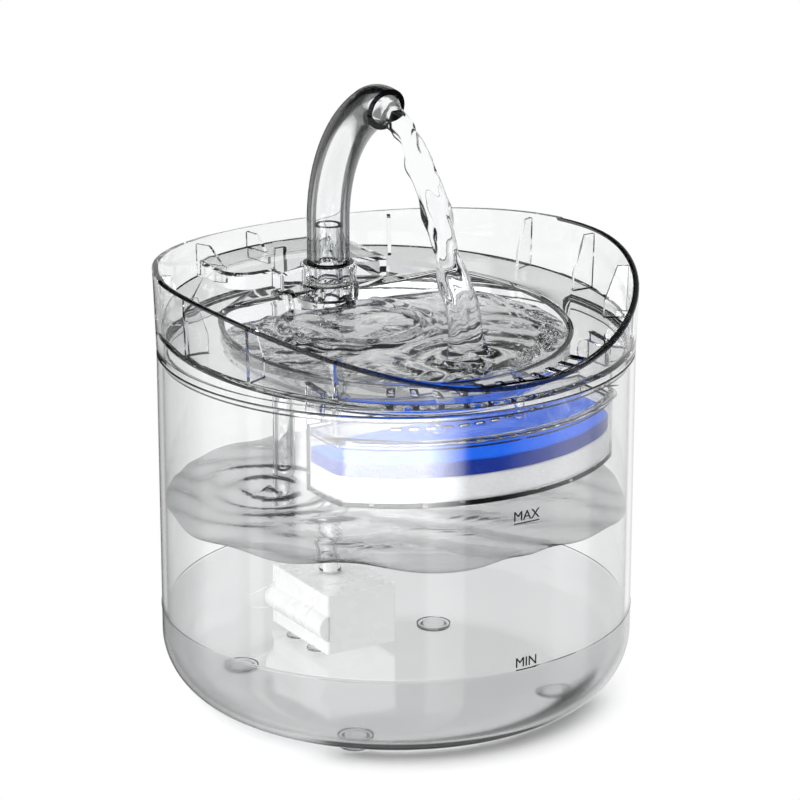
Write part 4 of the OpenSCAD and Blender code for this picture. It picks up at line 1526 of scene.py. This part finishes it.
@dataclass(frozen=True)
class Tray:
    """The clear drinking tray and the water in its basin.

    Args:
        frame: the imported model.
        level: the water's height.
        basin_r: the basin's radius.
        back: how far behind the centre its straight back is.
        crest: the rim's greatest height.
        crest_y: how far behind the centre that is.
        front_r: the radius of the rim's fall to the front.
        back_r: the radius of its fall to the back.
        rim_r: how far out the rim is.
        roll_y: the lip is rolled in front of this.
        eased_z: other edges are eased under this height.
    """

    frame: dict
    level: float = 146.0 * MM
    basin_r: float = 66.0 * MM
    back: float = 43.0 * MM
    crest: float = 174.5 * MM
    crest_y: float = 5.0 * MM
    front_r: float = 202.64 * MM
    back_r: float = 574.7 * MM
    rim_r: float = 89.0 * MM
    roll_y: float = 24.0 * MM
    eased_z: float = 152.0 * MM

    def rim(self, y: float) -> float:
        """The rim's height at a distance behind the centre."""
        radius = self.front_r if y < self.crest_y else self.back_r
        return self.crest - radius + math.sqrt(radius * radius - (y - self.crest_y) ** 2)

    def on_lip(self, point: Vector) -> bool:
        """Whether a point is on one of the two edges of the lip to drink over.

        Args:
            point: the point.

        Returns:
            True where it is.
        """
        below = 0.15 * MM
        return (math.hypot(point.x, point.y) > self.rim_r and point.y < self.roll_y
                and point.z > self.rim(point.y) - below)

    def shell(self) -> Piece:
        """The tray, with the lip to drink over rolled and its other edges eased.

        Returns:
            The shell.
        """
        mesh = softened(self.frame, "tray", 1.1 * MM, over=50.0, steps=5,
                        where=lambda edge: all(self.on_lip(v.co) for v in edge.verts))
        rolled = {face for face in mesh.faces if face.material_index == 1}
        ease(mesh, 0.4 * MM, 30.0, 2,
             lambda edge: (roomy(edge) and all(v.co.z < self.eased_z for v in edge.verts)
                           and not any(face in rolled for face in edge.link_faces)))
        # The rolled lip and the eased edges carry the near-black painted edge shade.
        piece = publish(mesh, "tray_shell", TRAY_CLEAR, Body.TRAY, crease=38.0,
                        edging=EDGE_SHADE)
        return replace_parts(piece, "tray")

    def riser(self) -> Piece:
        """The hose from the pump to the tray.

        Returns:
            The hose.
        """
        piece = publish(from_node(self.frame, "riser_tube"), "riser_hose", CLEAR, Body.TRAY,
                        crease=30.0)
        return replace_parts(piece, "riser_tube")

    def water(self) -> Piece:
        """The top of the disturbed water in the basin, which follows the basin's edge.

        Returns:
            The water.
        """
        gap, thick, corner = 0.2 * MM, 3.0 * MM, 14

        def reach(angle: float) -> float:
            """How far the basin reaches from its middle along a bearing."""
            radius = self.basin_r - gap
            back = (self.back - gap) / max(math.sin(angle), 1e-6)
            if math.sin(angle) <= 0 or back >= 1.0:
                return radius
            soft = (radius ** -corner + back ** -corner) ** (-1 / corner)
            return min(radius, back, soft)

        def top(x: float, y: float, radius: float) -> float:
            """Rings around the stream, a swirl, a ruffled brim and long waves."""
            x, y, radius = x / MM, y / MM, radius / MM
            height = dying_rings(x, y, STREAM_FALL, height=1.9, fade=24, pitch=0.5)
            height += dying_rings(x, y, (-38, 12), height=1.0, fade=16, pitch=0.46)
            swirl = math.hypot(x + 9, y - 19)
            height += 1.8 * ridge(swirl, 27.0, 2.0) + 1.1 * ridge(swirl, 33.5, 1.8)
            front = min(1.0, max(0.0, 0.5 - y / 60))
            along = math.atan2(-y, -x) * radius
            height += BRIM_RUFFLE.at(along, 0.0) * ridge(radius, 59.0, 4.5) * front
            height += sum(wave.at(x, y) for wave in BASIN_WAVES)
            return self.level + height * MM

        mesh = water_sheet(80, 300, reach, top, lambda x, y, radius: self.level - thick)
        return publish(mesh, "basin_water", POOL_WATER, Body.TRAY)

    def build(self) -> None:
        """Makes the tray's pieces."""
        self.shell()
        self.riser()
        self.water()


# ---------------------------------------------------------------- the faucet


@dataclass(frozen=True)
class Faucet:
    """The gooseneck, its base and the stream that leaves it.

    Args:
        frame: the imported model.
        axis_y: how far behind the centre it stands.
        start_z: the height of the tube's lower end.
        straight: the length of the tube's straight part.
        bend_1: the radius of its long bend.
        turn_1: that bend's angle in degrees.
        bend_2: the radius of its short bend.
        turn_2: that bend's angle in degrees.
        outer: the tube's outer radius.
        bore: its inner radius.
        swing: how far it rests swung to the side, in degrees.
        landing_z: the height at which the stream meets the water.
    """

    frame: dict
    axis_y: float = 52.0 * MM
    start_z: float = 161.8 * MM
    straight: float = 16.2 * MM
    bend_1: float = 60.0 * MM
    turn_1: float = 60.0
    bend_2: float = 15.0 * MM
    turn_2: float = 43.5
    outer: float = 8.5 * MM
    bore: float = 6.0 * MM
    swing: float = 3.0
    landing_z: float = 145.2 * MM

    def line(self) -> list[Vector]:
        """The gooseneck's centre line, swung to where it rests.

        Returns:
            Its points, from the socket to the mouth.
        """
        bend_z = self.start_z + self.straight
        shift, base = self.bend_1 - self.bend_2, math.radians(self.turn_1)
        first = (self.axis_y - self.bend_1, bend_z)
        second = (first[0] + shift * math.cos(base), bend_z + shift * math.sin(base))
        points = [(self.axis_y, self.start_z + self.straight * k / 6) for k in range(6)]
        points += arc(first, self.bend_1, 0.0, self.turn_1, 24)
        points += arc(second, self.bend_2, self.turn_1, self.turn_1 + self.turn_2, 24)[1:]
        spin = Matrix.Rotation(math.radians(self.swing), 4, "Z")
        pivot = Vector((0, self.axis_y, 0))
        return [spin @ (Vector((0, y, z)) - pivot) + pivot for y, z in points]

    def gooseneck(self) -> Piece:
        """The bent tube, as a closed shell with rounded ends.

        Returns:
            The tube.
        """
        path, sides = self.line(), 64
        side = Matrix.Rotation(math.radians(self.swing), 3, "Z") @ Vector((1, 0, 0))
        mesh = bmesh.new()
        outside, inside = (rings_along(mesh, path, side, lambda number: circle(radius, sides))
                           for radius in (self.outer, self.bore))
        loft(mesh, outside)
        loft(mesh, inside, flip=True)
        loft(mesh, [outside[-1], inside[-1]])
        loft(mesh, [outside[0], inside[0]], flip=True)
        rim = [e for e in mesh.edges if e.is_manifold and e.calc_face_angle(0.0) > 1.0]
        bmesh.ops.bevel(mesh, geom=rim, offset=0.6 * MM, segments=3, profile=0.5,
                        affect="EDGES")
        piece = publish(mesh, "gooseneck_tube", FAUCET_CLEAR, Body.GOOSENECK,
                        crease=50.0, turn=True)
        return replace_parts(piece, "spout")

    def base(self) -> Piece:
        """The sleeve in the socket and the connector in the tube.

        Returns:
            The base.
        """
        # Its eased edges carry the near-black painted edge shade.
        piece = publish(softened(self.frame, "faucet_base", 0.3 * MM), "faucet_sleeve", CLEAR,
                        Body.FAUCET, crease=30.0, edging=EDGE_SHADE)
        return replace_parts(piece, "faucet_base")

    def stream(self) -> Piece:
        """The falling stream: a twisted, swelling rope of water.

        Returns:
            The stream.
        """
        line = self.line()
        mouth = line[-1]
        ahead = (line[-1] - line[-2]).normalized()
        flat = Vector((STREAM_FALL[0] * MM - mouth.x, STREAM_FALL[1] * MM - mouth.y, 0.0))
        span = flat.length
        flat.normalize()
        drop = mouth.z - self.landing_z
        tilt = min(ahead.z / max(math.hypot(ahead.x, ahead.y), 1e-6), -0.1)
        bow = (drop + tilt * span) / (span * span)
        path: list[Vector] = []
        count, inside = 90, 0.06
        for k in range(count):
            away = span * (-inside + (1 + inside) * k / (count - 1))
            fall = tilt * away - (bow * away * away if away > 0 else 0.0)
            path.append(mouth + flat * away + Vector((0, 0, fall)))

        def outline(number: int) -> Section:
            """The stream's lumpy outline, which has a waist and spreads as it lands."""
            radius, waist, spread, mouth_share = 5.4 * MM, 1.0 * MM, 1.2 * MM, 0.9
            t = number / (count - 1)
            core = radius - waist * math.sin(math.pi * min(t * 1.3, 1.0)) + spread * t ** 4
            core *= mouth_share if t < 0.05 else 1.0
            result = []
            for x, y in circle(core, 36):
                angle = math.atan2(y, x)
                lump = 1 + sum(height * math.sin(around * angle + along * t + start)
                               for height, around, along, start in STREAM_LUMPS)
                result.append((x * lump, y * lump))
            return result

        mesh = bmesh.new()
        side = Vector((0, 0, 1)).cross(flat).normalized()
        loft(mesh, rings_along(mesh, path, side, outline), capped=True)
        return publish(mesh, "water_stream", STREAM_WATER, Body.GOOSENECK,
                       crease=70.0, turn=True)

    def build(self) -> None:
        """Makes the faucet's pieces."""
        self.gooseneck()
        self.base()
        dress(self.frame, SILICONE, ["faucet_o_ring"])
        self.stream()


# ---------------------------------------------------------------- the filter


@dataclass(frozen=True)
class Filter:
    """The clear box with its lid, the blue sponge and the white pad.

    Args:
        frame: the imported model.
        half: half the box's width.
        wall: its wall's thickness.
        bend: the radius of its upright front corners.
        corner: how far back from a sharp corner that radius starts.
        pad_corner: the radius of the pads' upright front corners.
        wave: how high the waves in the pads' sides are.
        room: how far the pads' fronts stay back, which leaves room for the waves.
    """

    frame: dict
    half: float = 61.0 * MM
    wall: float = 1.5 * MM
    bend: float = 15.0 * MM
    corner: float = 6.06 * MM
    pad_corner: float = 13.2 * MM
    wave: float = 0.12 * MM
    room: float = 0.15 * MM

    def clear_pieces(self) -> None:
        """The box and its lid."""
        for node, name in (("filter_box", "filter_case"), ("filter_lid", "filter_grille")):
            mesh = softened(self.frame, node, self.corner, over=30.0, steps=10,
                            where=lambda edge: self.upright(edge, self.half))
            ease(mesh, self.corner * (1 - self.wall / self.bend), 30.0, 10,
                 lambda edge: self.upright(edge, self.half - self.wall), 0)
            unmark(mesh)
            # The fine roundings carry the near-black painted edge shade; the corners' broad
            # roundings are plain.
            ease(mesh, 0.25 * MM, 28.0, 2, roomy)
            piece = publish(mesh, name, CLEAR, Body.FILTER, crease=30.0,
                            edging=EDGE_SHADE)
            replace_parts(piece, node)

    def upright(self, edge: Edge, across: float) -> bool:
        """Whether an edge is an upright front corner, a distance to the side of the middle.

        Args:
            edge: the edge.
            across: the distance.

        Returns:
            True where it is.
        """
        leaning, front_y, near = 0.05 * MM, -50.0 * MM, 0.4 * MM
        first, second = (v.co for v in edge.verts)
        return (math.hypot(first.x - second.x, first.y - second.y) < leaning
                and first.y < front_y and abs(abs(first.x) - across) < near)

    def outline(self, low: Vector, high: Vector) -> Section:
        """A pad's outline: a round front, two round corners and a straight back.

        Args:
            low: the low corner of the pad's box.
            high: its high corner.

        Returns:
            The outline.
        """
        radius, half, back, turn = -low.y - self.room, high.x, high.y, self.pad_corner
        centre_x = half - turn
        centre_y = -math.sqrt((radius - turn) ** 2 - centre_x ** 2)
        corner = math.degrees(math.atan2(centre_x, -centre_y))
        outline = arc((-centre_x, centre_y), turn, -180, -90 - corner, 6)[:-1]
        outline += arc((0.0, 0.0), radius, -90 - corner, -90 + corner, 40)
        outline += arc((centre_x, centre_y), turn, corner - 90, 0, 6)[1:]
        outline += run((half, centre_y), (half, back), 5)
        outline += run((half, back), (-half, back), 16)
        return outline + run((-half, back), (-half, centre_y), 5)[:-1]

    def pad(self, node: str, name: str, finish: Finish, soft: float) -> Piece:
        """A soft pad with rounded edges and slightly wavy sides.

        Args:
            node: the node that it stands for.
            name: the piece's name.
            finish: its finish.
            soft: how round its edges are, in metres.

        Returns:
            The pad.
        """
        low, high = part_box(node)
        outline = self.outline(low, high)
        edge = [(0.0, soft)] + [
            (soft * (1 - math.cos(math.radians(a))), soft * (1 - math.sin(math.radians(a))))
            for a in (30, 60, 90)]
        stack = [(low.z + rise, inset) for rise, inset in edge]
        stack += [(low.z + (high.z - low.z) * share, 0.0) for share in (0.4, 0.6)]
        stack += [(high.z - rise, inset) for rise, inset in reversed(edge)]
        middle = Vector((0.0, (high.y + low.y + self.room) / 2, 0.0))
        mesh = bmesh.new()
        rings = []
        for z, inset in stack:
            ring = []
            for x, y in outline:
                toward = middle - Vector((x, y, 0.0))
                pull = inset / max(toward.length, 1e-6)
                push = Vector((x, y, z)) + toward * pull
                if inset < soft * 0.9:
                    push.y += self.wave * math.sin(x / MM * 0.31 + z / MM * 2.1)
                ring.append(mesh.verts.new(push))
            rings.append(ring)
        loft(mesh, rings, capped=True)
        piece = publish(mesh, name, finish, Body.FILTER, crease=50.0)
        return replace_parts(piece, node)

    def build(self) -> None:
        """Makes the filter's pieces."""
        self.clear_pieces()
        self.pad("filter_sponge", "blue_sponge", BLUE_FOAM, 0.9 * MM)
        self.pad("filter_cotton", "white_pad", FLEECE, 1.4 * MM)
        dress(self.frame, CARBON, ["carbon_core"])


# ---------------------------------------------------------------- the pump


@dataclass(frozen=True)
class Pump:
    """The white pump on the tank's floor and all that is in it.

    Args:
        frame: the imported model.
        cup_r: a suction cup's radius.
        stud_r: its stud's radius.
        neck_h: the height of the neck between them.
    """

    frame: dict
    cup_r: float = 5.0 * MM
    stud_r: float = 1.5 * MM
    neck_h: float = 3.1 * MM

    def cups(self) -> Piece:
        """Four soft suction cups, each a thin bell on a stud.

        Returns:
            The cups.
        """
        low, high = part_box("suction_cups")
        cup, stud, neck = self.cup_r, self.stud_r, self.neck_h
        tall = high.z - low.z
        profile: Section = [(cup - 0.25 * MM, 0.0), (cup, 0.15 * MM), (cup, 0.4 * MM)]
        profile += [(cup - (cup - stud - 1.0 * MM) * share, (0.4 + 1.75 * share ** 0.6) * MM)
                    for share in (0.2, 0.4, 0.6, 0.8, 1.0)]
        profile += [(stud + 0.8 * MM, 2.3 * MM), (stud + 0.8 * MM, neck), (stud, neck),
                    (stud, tall - 0.2 * MM), (stud - 0.2 * MM, tall), (0.0, tall),
                    (0.0, 1.3 * MM), (1.6 * MM, 1.2 * MM), (3.4 * MM, 0.75 * MM),
                    (cup - 0.6 * MM, 0.0)]
        layout = FourCorners(
            "cups_layout", high.x - low.x - 2 * cup, high.y - low.y - 2 * cup,
            ((low.x + high.x) / 2, (low.y + high.y) / 2, low.z), SOFT_CLEAR)
        piece = publish(layout.copies(turned(profile, 40)), "soft_cups", SOFT_CLEAR, Body.BASE,
                        crease=40.0)
        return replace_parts(piece, "suction_cups")

    def build(self) -> None:
        """Finishes the pump's pieces."""
        for node, body in (("pump_housing", Body.BASE), ("pump_cover", Body.COVER),
                           ("rear_cover", Body.BASE)):
            piece = publish(softened(self.frame, node, 0.5 * MM), node + "_shell", WHITE, body,
                            crease=30.0)
            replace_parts(piece, node)
        for finish, nodes in (
            (GREY, ("flow_slider", "cable_gland")), (DARK_FOAM, ("intake_sponge",)),
            (WHITE, ("impeller_cap", "impeller")), (FERRITE, ("rotor_magnet",)),
            (CERAMIC, ("rotor_shaft",)), (BLACK_RUBBER, ("front_bush", "rear_bush")),
            (STEEL, ("stator_core",)), (CREAM, ("coil_bobbin",)), (COPPER, ("stator_coil",)),
            (RESIN, ("motor_potting",)),
        ):
            dress(self.frame, finish, nodes)
        self.cups()


@dataclass
class Fountain:
    """The whole fountain, made in order.

    Args:
        frame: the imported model.
        sizes: the boxes that are noted.
    """

    frame: dict
    sizes: dict[str, list[list[float]]] = field(default_factory=dict)

    def keep_size(self, name: str) -> None:
        """Notes the box around everything that shows."""
        low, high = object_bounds()
        self.sizes[name] = [list(map(float, low)), list(map(float, high))]

    def build(self) -> None:
        """Makes each sub-assembly."""
        self.keep_size("cad")
        Studio().build()
        Tank(self.frame).build()
        Tray(self.frame).build()
        Faucet(self.frame).build()
        Filter(self.frame).build()
        Pump(self.frame).build()
        self.keep_size("visual")


def main() -> None:
    """Builds the fountain in its studio."""
    logging.basicConfig(level=logging.INFO, format="%(name)s: %(message)s")
    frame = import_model()
    Fountain(frame).build()


if __name__ == "__main__":
    main()
